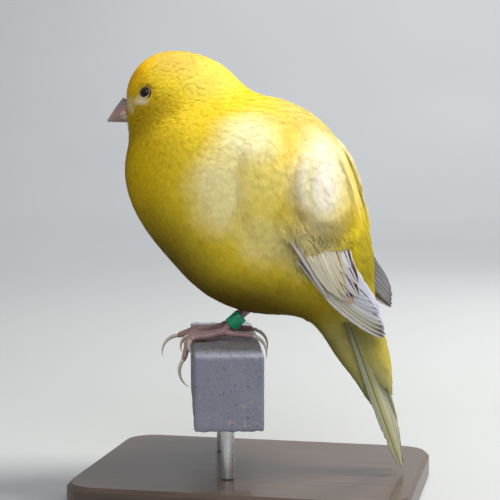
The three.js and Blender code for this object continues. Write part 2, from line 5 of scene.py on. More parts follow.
import bpy
import numpy as np
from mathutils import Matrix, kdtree


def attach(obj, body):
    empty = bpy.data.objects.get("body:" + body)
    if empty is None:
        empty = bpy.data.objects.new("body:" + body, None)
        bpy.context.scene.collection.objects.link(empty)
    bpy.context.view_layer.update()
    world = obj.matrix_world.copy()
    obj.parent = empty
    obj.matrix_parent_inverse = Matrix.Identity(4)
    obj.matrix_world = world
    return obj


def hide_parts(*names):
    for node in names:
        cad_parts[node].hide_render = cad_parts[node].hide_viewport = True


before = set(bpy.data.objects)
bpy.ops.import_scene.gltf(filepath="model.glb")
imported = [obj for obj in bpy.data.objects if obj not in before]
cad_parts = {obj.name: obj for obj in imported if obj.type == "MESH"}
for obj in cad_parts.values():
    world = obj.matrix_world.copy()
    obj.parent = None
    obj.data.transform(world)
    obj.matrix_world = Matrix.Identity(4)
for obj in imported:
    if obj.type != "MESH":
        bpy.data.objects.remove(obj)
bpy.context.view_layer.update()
scene = bpy.context.scene

# Camera. It stands nearly side-on to the bird, a little above it and a little towards its tail,
# and takes a square picture with a long lens.
MM = 0.001
CAMERA_TURN = math.radians(12)
CAMERA_TILT = math.radians(5)
CAMERA_AIM = np.array([-1.7, 0.0, 73.6]) * MM
CAMERA_DISTANCE = 0.45
camera_way = np.array(
    [
        math.sin(CAMERA_TURN) * math.cos(CAMERA_TILT),
        -math.cos(CAMERA_TURN) * math.cos(CAMERA_TILT),
        math.sin(CAMERA_TILT),
    ]
)
bpy.ops.object.select_all(action="DESELECT")
bpy.ops.object.camera_add(
    location=CAMERA_AIM + camera_way * CAMERA_DISTANCE,
    rotation=(math.pi / 2 - CAMERA_TILT, 0, CAMERA_TURN),
)
camera = bpy.context.object
camera.data.sensor_width = 36
camera.data.lens = 108
camera.data.clip_start = 0.01
scene.camera = camera


# Plumage as a form. The coat's outer surface is a handful of soft masses that flow into one
# another: breast, belly, back, rump, thighs, crown, nape and cheeks, with the pads of small
# coverts over each wing and the coverts over and under the tail's root.
def mass(x, z, along, up, across, lean=0, blend=9, head=False):
    """A round mass on the bird's middle line: its place and half sizes in mm, how far it leans in
    degrees, how widely it flows into the others, and whether it turns with the head."""
    return {
        "centre": np.array([x, 0, z], float),
        "half": np.array([along, across, up], float),
        "lean": math.radians(lean),
        "blend": blend,
        "head": head,
    }


BODY_MASSES = [
    mass(-16.5, 97.5, 23, 24, 24),  # breast
    mass(-2, 84, 30.5, 26.5, 26, 50),  # belly and sides
    mass(6, 97.5, 23.5, 20, 22, 40),  # back
    mass(19.5, 77, 24, 14.5, 15.5, 68),  # rump
    mass(7, 66, 15, 7, 13, 20),  # thighs
    mass(-27.4, 120.6, 11.3, 11.6, 10.6, head=True),  # crown
    mass(-18, 119.5, 12.6, 11.2, 11.5, 14, head=True),  # nape
    mass(-26.6, 114, 9.6, 8, 9.6, 30, head=True),  # cheeks and throat
]
TAIL_COVERTS = [
    mass(25.2, 49.5, 11.0, 3.8, 4.4, 58, blend=8),  # under the tail's root
    mass(29.6, 41.0, 16.5, 2.2, 2.8, 62, blend=5),  # under the tail, lower down
    mass(34.6, 51.0, 12.0, 3.1, 3.6, 72, blend=7),  # over the tail's root
    mass(36.2, 45.5, 15.0, 2.0, 2.6, 71, blend=5),  # over the tail, lower down
]
HEAD_X, HEAD_Z, HEAD_YAW = -27.0, 119.0, math.radians(10)


def from_head(x, y, z):
    """A point of the head's own frame, whose X runs back from the bill, in the bird's frame."""
    c, s = math.cos(HEAD_YAW), math.sin(HEAD_YAW)
    return np.array([HEAD_X + c * x - s * y, s * x + c * y, HEAD_Z + z])


def mass_distance(points, m):
    """About how far in mm each point is outside one mass, below zero inside it."""
    if m["head"]:
        c, s = math.cos(HEAD_YAW), math.sin(HEAD_YAW)
        dx, dy = points[:, 0] - HEAD_X, points[:, 1]
        points = np.stack([HEAD_X + c * dx + s * dy, c * dy - s * dx, points[:, 2]], 1)
    d = points - m["centre"]
    c, s = math.cos(m["lean"]), math.sin(m["lean"])
    local = np.stack([d[:, 0] * c - d[:, 2] * s, d[:, 1], d[:, 0] * s + d[:, 2] * c], 1)
    near = np.linalg.norm(local / m["half"], axis=1)
    slope = np.linalg.norm(local / m["half"] ** 2, axis=1)
    return near * (near - 1) / np.maximum(slope, 1e-9)


def plumage(points, masses):
    """Distance in mm from points to the coat's outer surface, below zero inside it."""
    total = mass_distance(points, masses[0])
    for m in masses[1:]:
        other = mass_distance(points, m)
        h = np.maximum(m["blend"] - np.abs(total - other), 0) / m["blend"]
        total = np.minimum(total, other) - h * h * m["blend"] / 4
    return total


def body_side(x, z):
    """How far out the body's side is at x and z, without the wing's pad."""
    inside, outside = np.zeros_like(x), np.full_like(x, 40)
    for _ in range(18):
        middle = (inside + outside) / 2
        within = plumage(np.stack([x, middle, z], 1), BODY_MASSES) < 0
        inside, outside = np.where(within, middle, inside), np.where(within, outside, middle)
    return inside


MIDDLE_STRIP = 6
LOBE_RIM = 0.45
LOBES = [
    {"x": 24.5, "z": 94.0, "along": 10.5, "up": 18.0, "proud": 2.5},  # wing's pad
    {"x": 7.5, "z": 95.0, "along": 8.5, "up": 18.0, "proud": 1.1},  # flank, before the wing
]


def swelling(points):
    """How far the wing's soft feathers and the flank's lobe before them stand off the side, in mm."""
    total = np.zeros(len(points))
    outward = np.clip((np.abs(points[:, 1]) - MIDDLE_STRIP) / MIDDLE_STRIP, 0, 1)
    for lobe in LOBES:
        across = (points[:, 0] - lobe["x"]) / lobe["along"]
        far = np.hypot(across, (points[:, 2] - lobe["z"]) / lobe["up"])
        inside = np.clip((1.0 - far) / LOBE_RIM, 0, 1)
        total = np.maximum(total, lobe["proud"] * inside * inside * (3 - 2 * inside) * outward)
    return total


COAT_MASSES = BODY_MASSES + TAIL_COVERTS


def coat(points):
    """Distance in mm from points to the coat with its lobes and tail coverts, below zero inside."""
    return plumage(points, COAT_MASSES) - swelling(points)


def coat_slope(points):
    """The way the coat's surface looks at each point, as the rise of its distance for each mm."""
    step = 0.15
    slope = np.empty_like(points)
    for axis in range(3):
        shift = np.zeros(3)
        shift[axis] = step
        slope[:, axis] = (coat(points + shift) - coat(points - shift)) / (2 * step)
    return slope


def unit(vectors):
    """The same directions, each one long."""
    return vectors / np.maximum(np.linalg.norm(vectors, axis=-1, keepdims=True), 1e-9)


def at_level(points, level):
    """Moves points along the coat's slope to where its distance is the level that each should have."""
    slope = coat_slope(points)
    steep = np.maximum((slope**2).sum(1), 0.1)
    for _ in range(2):
        miss = np.clip((level - coat(points)) / steep, -3, 3)
        points = points + slope * miss[:, None]
    return points


BILL_BASE = from_head(-11.5, 0, -3.4)


def from_bill(points):
    """How far in mm each point is from the bill's root."""
    return np.linalg.norm(points - BILL_BASE, axis=1)


def coat_depth(points):
    """The coat is thin round the bill and eyes and over the tail, and deepest on the belly."""
    depth = np.interp(from_bill(points), [2, 8, 14, 28, 50, 90], [0.25, 0.4, 0.6, 1.0, 1.5, 1.7])
    return depth * np.interp(points[:, 2], [36, 54], [0.35, 1.0])


# Skin. One closed skin under the whole coat, from the face to the tail's root. It is the
# rounded masses fused, then drawn in by the coat's depth.
SKIN_GRID = 0.7
balls = []
for m in COAT_MASSES:
    bpy.ops.object.select_all(action="DESELECT")
    bpy.ops.mesh.primitive_uv_sphere_add(segments=40, ring_count=24, radius=1)
    ball = bpy.context.object
    centre = m["centre"]
    if m["head"]:
        centre = from_head(centre[0] - HEAD_X, centre[1], centre[2] - HEAD_Z)
    ball.scale = m["half"] * MM
    ball.rotation_euler = (0, m["lean"], HEAD_YAW if m["head"] else 0)
    ball.location = centre * MM
    bpy.ops.object.transform_apply(location=True, rotation=True, scale=True)
    balls.append(ball)
for ball in balls:
    ball.select_set(True)
bpy.context.view_layer.objects.active = balls[0]
bpy.ops.object.join()
skin = bpy.context.object
skin.name = "skin"
remesh = skin.modifiers.new("fuse", "REMESH")
remesh.mode = "VOXEL"
remesh.voxel_size = SKIN_GRID * MM
bpy.ops.object.modifier_apply(modifier="fuse")


def place_of(piece):
    """A piece's own points in mm."""
    flat = np.empty(len(piece.data.vertices) * 3, np.float32)
    piece.data.vertices.foreach_get("co", flat)
    return flat.reshape(-1, 3).astype(float) / MM


skin_points = place_of(skin)
for _ in range(3):
    skin_points = at_level(skin_points, -coat_depth(skin_points))
skin.data.vertices.foreach_set("co", (skin_points * MM).astype(np.float32).ravel())
skin.data.update()
bpy.ops.object.shade_smooth()


def node(tree, kind, sockets=None, **settings):
    """A shader node, its sockets set to values or linked to other nodes' outputs."""
    made = tree.nodes.new("ShaderNode" + kind)
    for name, value in settings.items():
        setattr(made, name, value)
    for name, value in (sockets or {}).items():
        if isinstance(value, bpy.types.NodeSocket):
            tree.links.new(value, made.inputs[name])
        else:
            made.inputs[name].default_value = value
    return made


def colour_mix(tree, factor, first, second, blend="MIX"):
    """Two colours mixed by a factor. Each is a plain colour or another node's output."""
    made = tree.nodes.new("ShaderNodeMix")
    made.data_type = "RGBA"
    made.blend_type = blend
    for socket, value in ((0, factor), (6, first), (7, second)):
        if isinstance(value, bpy.types.NodeSocket):
            tree.links.new(value, made.inputs[socket])
        elif socket == 0:
            made.inputs[socket].default_value = value
        else:
            made.inputs[socket].default_value = (*value, 1)
    return made.outputs[2]


def ramp(tree, value, low, high, start=0.0, end=1.0):
    """Goes from start to end while the value goes from low to high, and is level outside them."""
    return node(tree, "MapRange", {0: value, 1: low, 2: high, 3: start, 4: end}).outputs[0]


def new_material(name):
    """An empty material and its node tree."""
    material = bpy.data.materials.new(name)
    material.use_nodes = True
    tree = material.node_tree
    for old in list(tree.nodes):
        tree.nodes.remove(old)
    return material, tree


def finish_material(tree, colour, roughness, relief=None, fixed=None, through=None):
    """The surface itself. Relief gives a height, its strength and its depth in metres, fixed the
    values that are the same all over, and through the share of light that passes."""
    sockets = {"Base Color": colour, "Roughness": roughness}
    if relief is not None:
        height, strength, depth = relief
        bump = node(tree, "Bump", {"Height": height, "Strength": strength, "Distance": depth})
        sockets["Normal"] = bump.outputs[0]
    surface = node(tree, "BsdfPrincipled", sockets)
    for name, value in (fixed or {}).items():
        surface.inputs[name].default_value = value
    shader = surface.outputs[0]
    if through is not None:
        glow = node(tree, "BsdfTranslucent", {"Color": colour})
        shader = node(tree, "MixShader", {0: through, 1: shader, 2: glow.outputs[0]}).outputs[0]
    node(tree, "OutputMaterial", {"Surface": shader})


# The coat's markings, in the same places on skin and feathers: where each is in mm on the bird's
# left side, how far it reaches, its colour, and how strong it is. The right side mirrors the left.
# Some are painted light: the nape, shoulder and wing's pad are paler as painted highlights, and
# the lower breast and belly are darker as painted shade.
LEMON = (0.86, 0.69, 0.035)
ROOT_DULLING = (0.86, 0.78, 0.60)
MARK_WANDER = 0.006
MARK_CORE, MARK_RIM = 0.3, 1.2
MARKS_AND_PAINTED_LIGHT = [
    ((-34, 8, 94), (22, 40, 30), (0.74, 0.54, 0.002), 0.95),  # breast, deeper yellow
    ((-26, 6, 64), (24, 40, 27), (0.26, 0.165, 0.002), 0.95),  # lower breast, dull and darker as painted shade
    ((-4, 8, 55), (34, 40, 16), (0.20, 0.12, 0.003), 0.95),  # belly, dull and darker as painted shade
    ((-5, 25, 93), (11, 18, 15), (0.95, 0.88, 0.50), 0.95),  # side, paler
    ((7, 24, 79), (9, 18, 10), (0.93, 0.84, 0.36), 0.85),  # flank, paler
    ((8, 24, 96), (9, 18, 11), (0.92, 0.82, 0.28), 0.8),  # before the wing's pad, paler
    ((3, 24, 108), (12, 18, 9), (0.95, 0.91, 0.62), 0.95),  # shoulder, paler as a painted highlight
    ((17, 0, 112), (20, 22, 14), (0.68, 0.58, 0.20), 0.85),  # back
    ((22.5, 16, 95), (10, 26, 17), (0.96, 0.93, 0.82), 1.0),  # wing's pad, nearly white as a painted highlight
    ((20.5, 20, 95), (1.6, 16, 12), (0.86, 0.78, 0.34), 0.5),  # yellow streak in the pad
    ((19.5, 20, 77), (11, 28, 11), (0.70, 0.62, 0.32), 0.85),  # wing's soft coverts, streaked
    ((31, 4, 94), (7, 14, 12), (0.80, 0.72, 0.26), 0.8),  # upper rump
    ((33, 5, 72), (9, 14, 15), (0.54, 0.44, 0.02), 0.95),  # rump, olive yellow
    ((29, 0, 46), (14, 12, 14), (0.44, 0.41, 0.17), 0.9),  # coverts round the tail's root
    ((36, 0, 33), (12, 12, 13), (0.58, 0.56, 0.26), 0.95),  # and over the tail
    ((-12, 8, 127), (11, 16, 11), (0.78, 0.68, 0.14), 0.8),  # nape, brighter as a painted highlight
    ((-22, 6, 132), (11, 14, 8), (0.70, 0.52, 0.10), 0.85),  # crown, warm and pale
    ((-38, 4, 126), (11, 13, 10), (0.88, 0.60, 0.003), 0.98),  # forehead, deep golden
    ((-28, 11, 112), (12, 9, 11), (0.55, 0.37, 0.002), 0.9),  # cheek, darker gold
    ((-36, 8, 116.5), (3.8, 5, 3.0), (0.82, 0.72, 0.42), 0.9),  # lore, pale
    ((-31.5, 11, 117.9), (2.7, 4, 1.9), (0.88, 0.80, 0.60), 0.9),  # under the eye, pale
    ((-31, 11, 122.6), (3.4, 4, 1.4), (0.60, 0.40, 0.01), 0.8),  # brow, dark gold
]


def marks_and_painted_light(tree):
    """The plumage's colour at each place, from soft patches round named places, among them
    painted highlights and painted shade.
    """
    place = node(tree, "TexCoord").outputs["Object"]
    wander = node(tree, "TexNoise", {"Vector": place, "Scale": 90.0, "Detail": 2.0})
    shift = node(
        tree,
        "VectorMath",
        {0: wander.outputs["Color"], 1: (0.5, 0.5, 0.5)},
        operation="SUBTRACT",
    )
    strewn = node(
        tree,
        "VectorMath",
        {0: shift.outputs[0], 1: (MARK_WANDER,) * 3, 2: place},
        operation="MULTIPLY_ADD",
    )
    parts = node(tree, "SeparateXYZ", {0: strewn.outputs[0]})
    mirrored = node(tree, "Math", {0: parts.outputs[1]}, operation="ABSOLUTE")
    folded = node(
        tree, "CombineXYZ", {0: parts.outputs[0], 1: mirrored.outputs[0], 2: parts.outputs[2]}
    )
    colour = LEMON
    for centre, reach, paint, strength in MARKS_AND_PAINTED_LIGHT:
        away = node(
            tree,
            "VectorMath",
            {0: folded.outputs[0], 1: tuple(c * MM for c in centre)},
            operation="SUBTRACT",
        )
        scaled = node(
            tree,
            "VectorMath",
            {0: away.outputs[0], 1: tuple(r * MM for r in reach)},
            operation="DIVIDE",
        )
        length = node(tree, "VectorMath", {0: scaled.outputs[0]}, operation="LENGTH")
        mask = node(
            tree,
            "MapRange",
            {0: length.outputs["Value"], 1: MARK_CORE, 2: MARK_RIM, 3: strength, 4: 0.0},
            interpolation_type="SMOOTHSTEP",
        )
        colour = colour_mix(tree, mask.outputs[0], colour, paint)
    return place, colour


def coat_material(name, tufted):
    """Dry, soft barbs that let some light through, dull at the root and paler at the tip."""
    material, tree = new_material(name)
    place, colour = marks_and_painted_light(tree)
    if tufted:
        along = node(tree, "Attribute", attribute_name="along").outputs["Fac"]
        tone = node(tree, "Attribute", attribute_name="tone").outputs["Fac"]
        root = colour_mix(tree, 1.0, colour, ROOT_DULLING, "MULTIPLY")
        tip = colour_mix(tree, 0.08, colour, (1.0, 0.92, 0.35))
        rise = ramp(tree, along, 0.1, 0.7)
        lit = ramp(tree, along, 0.6, 1.0)
        colour = colour_mix(tree, rise, root, colour_mix(tree, lit, colour, tip))
        toned = node(tree, "VectorMath", {0: colour, "Scale": tone}, operation="SCALE")
        colour = toned.outputs[0]
    else:
        colour = colour_mix(tree, 1.0, colour, ROOT_DULLING, "MULTIPLY")
    fine = node(tree, "TexNoise", {"Vector": place, "Scale": 2600.0, "Detail": 2.0})
    relief = (fine.outputs[0], 0.25, 0.0002)
    share = 0.4 if tufted else 0.0
    finish_material(tree, colour, 0.78, relief, {"Specular IOR Level": 0.12}, share)
    return material


skin.data.materials.append(coat_material("skin_under_plumage", tufted=False))
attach(skin, "root")
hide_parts("torso", "neck", "head")

# Wings. Long feathers folded in five tiers along the body's side, each a thin closed vane on a dark
# shaft, with slanting barbs and a frayed edge. They overlap in each tier, as shingles do.
rng = np.random.default_rng(20)
GAP = 0.32
SHOULDER = 106
RIGHT_WING_RAISE = 0.12
VANE_THICKNESS = 0.14


def raised(z, side):
    """Heights as they are on the left wing, and a little higher on the right one."""
    return z + RIGHT_WING_RAISE * (SHOULDER - z) if side > 0 else z


def wing_sheet(x, z, side):
    """How far out the sheet of a folded wing's feathers is at x and z."""
    over = np.maximum(0, z - 66 + 0.5 * (x - 20))
    past = 6.9 - 0.314 * x + 0.2685 * z - 0.014 * over**2
    body = body_side(x, raised(z, side)) + GAP
    h = np.maximum(3 - np.abs(past - body), 0) / 3
    return np.maximum(past, body) + h * h * 3 / 4


def mesh_piece(name, points, faces, normals=None, uv=None, **attributes):
    """A mesh object from points in mm, triangles, and per-point normals, places on a map and values."""
    mesh = bpy.data.meshes.new(name)
    mesh.vertices.add(len(points))
    mesh.vertices.foreach_set("co", (points * MM).astype(np.float32).ravel())
    mesh.loops.add(faces.size)
    mesh.loops.foreach_set("vertex_index", faces.astype(np.int32).ravel())
    mesh.polygons.add(len(faces))
    mesh.polygons.foreach_set("loop_start", np.arange(0, faces.size, faces.shape[1], dtype=np.int32))
    mesh.update(calc_edges=True)
    mesh.shade_smooth()
    if uv is not None:
        layer = mesh.uv_layers.new(name="OFBake")
        layer.data.foreach_set("uv", uv[faces.ravel()].astype(np.float32).ravel())
    for key, values in attributes.items():
        layer = mesh.attributes.new(key, "FLOAT", "POINT")
        layer.data.foreach_set("value", values.astype(np.float32))
    if normals is not None:
        mesh.normals_split_custom_set_from_vertices(normals)
    piece = bpy.data.objects.new(name, mesh)
    scene.collection.objects.link(piece)
    return piece


def vane_width(along, blunt=2.2):
    """A vane's width along it: narrow at the root, full from the middle, round at the tip."""
    root = 0.5 + 0.5 * np.minimum(1, along / 0.5)
    tip = np.maximum(along - 0.6, 0) / 0.4
    return root * np.sqrt(np.maximum(1 - tip**blunt, 0.004))


VANE_ROWS = 56
ALONG = 1 - (1 - np.linspace(0, 1, VANE_ROWS)) ** 1.5
ACROSS = np.array([-1, -0.85, -0.65, -0.45, -0.25, -0.06, 0, 0.06, 0.25, 0.45, 0.65, 0.85, 1.0])


def slip(points, ways, thickness):
    """A closed thin vane from a grid of upper-face points and the ways that the face looks there."""
    rows, columns = points.shape[:2]
    under = points - ways * thickness
    both = np.concatenate([points.reshape(-1, 3), under.reshape(-1, 3)])
    index = np.arange(rows * columns).reshape(rows, columns)
    a, b, c, d = index[:-1, :-1], index[:-1, 1:], index[1:, 1:], index[1:, :-1]
    top = np.stack([a, b, c, d], -1).reshape(-1, 4)
    low = top[:, ::-1] + rows * columns
    rim = np.concatenate([index[0, :], index[1:, -1], index[-1, -2::-1], index[-2:0:-1, 0]])
    following = np.roll(rim, -1)
    wall = np.stack([following, rim, rim + rows * columns, following + rows * columns], 1)
    quads = np.concatenate([top, low, wall])
    triangles = np.concatenate([quads[:, :3], quads[:, [0, 2, 3]]])
    return both, triangles


def joined_vanes(name, vanes, thickness, flip):
    """One piece from many vanes, with each vane's own strip on the map and its own tone."""
    points, faces, uv, along, across, tone, rank = [], [], [], [], [], [], []
    base = 0
    for i, (place, way) in enumerate(vanes):
        made, triangles = slip(place, way, thickness)
        points.append(made)
        faces.append((triangles[:, ::-1] if flip else triangles) + base)
        base += len(made)
        a = np.broadcast_to(ALONG[:, None], place.shape[:2]).ravel()
        q = np.broadcast_to(ACROSS[None, :], place.shape[:2]).ravel()
        u = (i + 0.5 + 0.46 * q) / len(vanes)
        uv.append(np.tile(np.stack([u, 0.01 + 0.98 * a], 1), (2, 1)))
        along.append(np.tile(a, 2))
        across.append(np.tile(q, 2))
        tone.append(np.full(len(made), rng.random()))
        rank.append(np.full(len(made), i / max(1, len(vanes) - 1)))
    return mesh_piece(
        name,
        np.concatenate(points),
        np.concatenate(faces),
        None,
        np.concatenate(uv),
        along=np.concatenate(along),
        across=np.concatenate(across),
        tone=np.concatenate(tone),
        rank=np.concatenate(rank),
    )


NOTCHES = 5
NOTCH_HALF = 0.018
RAGGED = 0.012


def frayed(along, across):
    """The share of a vane's width that is left at each along and across where barbs have parted."""
    width = np.ones((len(along), len(across)))
    for _ in range(NOTCHES):
        at, depth, edge = rng.uniform(0.35, 0.98), rng.uniform(0.04, 0.22), rng.choice([-1, 1])
        notch = depth * np.clip(1 - np.abs(along - at) / NOTCH_HALF, 0, 1)[:, None]
        width -= notch * np.clip(edge * across[None, :], 0, 1) ** 4
    ragged = rng.normal(0, RAGGED, (len(along), 2))
    width += ragged[:, :1] * (across < -0.9) + ragged[:, 1:] * (across > 0.9)
    return width


def spline(stops, share):
    """The place at a share of the way through evenly spaced stops."""
    stops = np.array(stops, float)
    place = np.linspace(0, 1, len(stops))
    return np.array([np.interp(share, place, stops[:, k]) for k in range(stops.shape[1])])


# Each tier's roots and tips are x and z in mm, from its lowest feather up. Half is a vane's half
# width, lift how far its tip stands off the side, bow its bend, and shingle how it tilts.
WING_ROWS = {
    "primaries": {
        "count": 9,
        "roots": [(16, 75), (24, 79)],
        "tips": [(39.7, 50.0), (40.0, 51.8), (39.8, 54), (38.8, 57), (36.9, 60), (34.4, 62.8)],
        "half": (2.2, 3.0),
        "lift": 1.0,
        "bow": 1.6,
        "shingle": 0.5,
    },
    "leading_coverts": {
        "count": 3,
        "roots": [(7.5, 90), (10, 91)],
        "tips": [(24.4, 62.6), (25.0, 64.4), (22.5, 69.0)],
        "half": (0.9, 1.0),
        "lift": 1.9,
        "bow": -0.6,
        "shingle": 0.3,
    },
    "primary_coverts": {
        "count": 4,
        "roots": [(11, 89), (14, 90)],
        "tips": [(23.5, 65.8), (24.4, 67.6), (24.4, 70.0)],
        "half": (1.3, 1.6),
        "lift": 1.7,
        "bow": 0.2,
        "shingle": 0.4,
    },
    "tertials": {
        "count": 4,
        "roots": [(20, 84), (24, 88)],
        "tips": [(31.0, 60.8), (32.6, 62.6), (32.4, 66.2), (30.4, 70.6)],
        "half": (2.5, 2.0),
        "lift": 1.9,
        "bow": 0.5,
        "shingle": 0.35,
    },
    "greater_coverts": {
        "count": 6,
        "roots": [(14, 88), (22, 90)],
        "tips": [(25.6, 64.2), (27.4, 62.2), (29.3, 61.8), (29.4, 65.0), (28.4, 69.4)],
        "half": (1.7, 2.1),
        "lift": 2.25,
        "bow": 0.4,
        "shingle": 0.4,
    },
}


SUNK = -2.2
RISE_SHARE = 0.6
SHAFT_HEIGHT, SHAFT_HALF = 0.14, 0.07
CAMBER = 0.3
SLOPE_STEP = 0.4


def wing_vane(side, row, share):
    """One feather's upper face as a grid of places, and the way that it looks at each. Its root is
    sunk in the coat, and it rises to its tier's height."""
    tip = spline(row["tips"], share) + rng.uniform(-0.25, 0.25, 2)
    root = spline(row["roots"], share)
    half = np.interp(share, [0, 1], row["half"]) * rng.uniform(0.95, 1.05)
    run = tip - root
    across = np.array([-run[1], run[0]]) / np.linalg.norm(run)
    if across[0] < 0:
        across = -across
    q = ACROSS[None, :] * frayed(ALONG, ACROSS)
    sweep = q * half * vane_width(ALONG)[:, None]
    bow = -row["bow"] * (1 - share * 0.5) * np.sin(math.pi * ALONG)[:, None]
    x = root[0] + run[0] * ALONG[:, None] + across[0] * (sweep + bow)
    z = root[1] + run[1] * ALONG[:, None] + across[1] * (sweep + bow)
    flat_x, flat_z = x.ravel(), z.ravel()
    y = wing_sheet(flat_x, flat_z, side)
    way = np.stack(
        [
            y - wing_sheet(flat_x + SLOPE_STEP, flat_z, side),
            np.full_like(y, side * SLOPE_STEP),
            y - wing_sheet(flat_x, flat_z + SLOPE_STEP, side),
        ],
        1,
    )
    way = unit(way).reshape(*x.shape, 3)
    rise = np.clip(ALONG / RISE_SHARE, 0, 1)
    rise = (rise * rise * (3 - 2 * rise))[:, None]
    shaft = SHAFT_HEIGHT * np.clip(1 - np.abs(ACROSS) / SHAFT_HALF, 0, 1)[None, :]
    shaft = shaft * (1 - ALONG[:, None])
    lift = SUNK + (row["lift"] - SUNK) * rise - row["shingle"] * q - CAMBER * q * q + shaft
    place = np.stack([x, side * y.reshape(x.shape), raised(z, side)], -1) + way * lift[..., None]
    return place, way


def vane_material(
    name, base, edge, inner, shaft, streak=0.0, spot=None, front=None, fringe=None, band=None
):
    """A vane's colour: pale outer edge, inner web, dark shaft and slanting barbs. Where given, front
    has the edge's colours on the row's first vanes, and fringe and band those of the inner edge."""
    material, tree = new_material(name)
    place = node(tree, "TexCoord").outputs["Object"]
    along = node(tree, "Attribute", attribute_name="along").outputs["Fac"]
    across = node(tree, "Attribute", attribute_name="across").outputs["Fac"]
    tone = node(tree, "Attribute", attribute_name="tone").outputs["Fac"]
    outer = ramp(tree, across, -0.35, -0.72)
    web = ramp(tree, across, 0.05, 0.5)
    colour = base
    if front is not None:
        rank = node(tree, "Attribute", attribute_name="rank").outputs["Fac"]
        first = ramp(tree, rank, 0.2, 0.4, 0.9, 0.0)
        colour = colour_mix(tree, first, colour, shaft)
    colour = colour_mix(tree, web, colour, inner)
    if front is not None:
        second = ramp(tree, rank, 0.35, 0.6, 1.0, 0.0)
        edge = colour_mix(tree, second, edge, front[1])
        first = ramp(tree, rank, 0.05, 0.12, 1.0, 0.0)
        edge = colour_mix(tree, first, edge, front[0])
    colour = colour_mix(tree, outer, colour, edge)
    if band is not None:
        late = ramp(tree, along, 0.45, 0.8)
        near = ramp(tree, across, 0.25, 0.45)
        both = node(tree, "Math", {0: late, 1: near}, operation="MULTIPLY").outputs[0]
        colour = colour_mix(tree, both, colour, band)
        rim = ramp(tree, across, 0.78, 0.88)
        colour = colour_mix(tree, rim, colour, fringe)
    away = node(tree, "Math", {0: across}, operation="ABSOLUTE").outputs[0]
    line = ramp(tree, away, 0.05, 0.12, 1.0, 0.0)
    colour = colour_mix(tree, line, colour, shaft)
    if streak:
        flow = node(tree, "CombineXYZ", {0: across, 1: along, 2: tone}).outputs[0]
        longer = node(tree, "VectorMath", {0: flow, 1: (7.0, 1.6, 30.0)}, operation="MULTIPLY")
        grain = node(tree, "TexNoise", {"Vector": longer.outputs[0], "Scale": 1.0, "Detail": 3.0})
        dark = ramp(tree, grain.outputs[0], 0.56, 0.68, 0.0, streak)
        colour = colour_mix(tree, dark, colour, shaft)
    if spot is not None:
        end = ramp(tree, along, 0.92, 0.97, 0.0, 0.9)
        rank = node(tree, "Attribute", attribute_name="rank").outputs["Fac"]
        lowest = ramp(tree, rank, 0.1, 0.3, 1.0, 0.1)
        end = node(tree, "Math", {0: end, 1: lowest}, operation="MULTIPLY").outputs[0]
        colour = colour_mix(tree, end, colour, spot)
    bright = ramp(tree, tone, 0.0, 1.0, 0.85, 1.1)
    colour = node(tree, "VectorMath", {0: colour, "Scale": bright}, operation="SCALE").outputs[0]
    slant = node(tree, "Math", {0: away, 1: 0.16, 2: along}, operation="MULTIPLY_ADD").outputs[0]
    barbs = node(tree, "Math", {0: slant, 1: 520.0}, operation="MULTIPLY").outputs[0]
    wave = node(tree, "Math", {0: barbs}, operation="SINE").outputs[0]
    fixed = {"Sheen Weight": 0.15, "Specular IOR Level": 0.35}
    finish_material(tree, colour, 0.52, (wave, 0.35, 0.00008), fixed, 0.3)
    return material


WING_FINISHES = {
    "primaries": vane_material(
        "primary_vane",
        base=(0.63, 0.63, 0.70),
        edge=(0.67, 0.68, 0.74),
        inner=(0.60, 0.62, 0.72),
        shaft=(0.12, 0.09, 0.09),
        streak=0.1,
        front=[(0.80, 0.76, 0.78), (0.74, 0.70, 0.54)],
    ),
    "tertials": vane_material(
        "tertial_vane",
        base=(0.70, 0.67, 0.70),
        edge=(0.78, 0.74, 0.74),
        inner=(0.68, 0.65, 0.71),
        shaft=(0.05, 0.022, 0.016),
        streak=0.5,
        spot=(0.74, 0.50, 0.24),
        fringe=(0.70, 0.66, 0.58),
        band=(0.05, 0.022, 0.016),
    ),
    "primary_coverts": vane_material(
        "primary_covert_vane",
        base=(0.44, 0.36, 0.16),
        edge=(0.56, 0.50, 0.36),
        inner=(0.34, 0.28, 0.14),
        shaft=(0.26, 0.18, 0.09),
        streak=0.5,
    ),
    "greater_coverts": vane_material(
        "greater_covert_vane",
        base=(0.76, 0.70, 0.48),
        edge=(0.82, 0.76, 0.60),
        inner=(0.48, 0.39, 0.20),
        shaft=(0.20, 0.12, 0.06),
        streak=0.7,
    ),
    "leading_coverts": vane_material(
        "leading_covert_vane",
        base=(0.70, 0.64, 0.56),
        edge=(0.84, 0.77, 0.72),
        inner=(0.60, 0.52, 0.34),
        shaft=(0.46, 0.38, 0.30),
        streak=0.3,
    ),
}


# The height of the feathers over the coat on each side, on a grid of x and z, so that the soft
# feathers beside the wing can lie over its roots.
WING_CORNER = np.array([0.0, 40.0])
WING_CELL = 0.6
WING_CELLS = (80, 100)


def wing_cell(points):
    """The cell of the height grid that each point is in."""
    return ((points[:, [0, 2]] - WING_CORNER) / WING_CELL).round().astype(int)


wing_height = {-1: np.zeros(WING_CELLS), 1: np.zeros(WING_CELLS)}
for side, word in ((-1, "left"), (1, "right")):
    for row_name, row in WING_ROWS.items():
        vanes = [wing_vane(side, row, i / (row["count"] - 1)) for i in range(row["count"])]
        upper = np.concatenate([place.reshape(-1, 3) for place, _ in vanes])
        cell = wing_cell(upper)
        np.maximum.at(wing_height[side], (cell[:, 0], cell[:, 1]), coat(upper))
        piece = joined_vanes(f"wing_{word}_{row_name}", vanes, VANE_THICKNESS, flip=side > 0)
        piece.data.materials.append(WING_FINISHES[row_name])
        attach(piece, "root")
        if row_name == "primaries":
            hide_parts("wing_" + word)
for height in wing_height.values():
    for axis in (0, 1, 0, 1):
        beside = np.maximum(np.roll(height, 1, axis), np.roll(height, -1, axis))
        height[:] = np.maximum(height, beside)


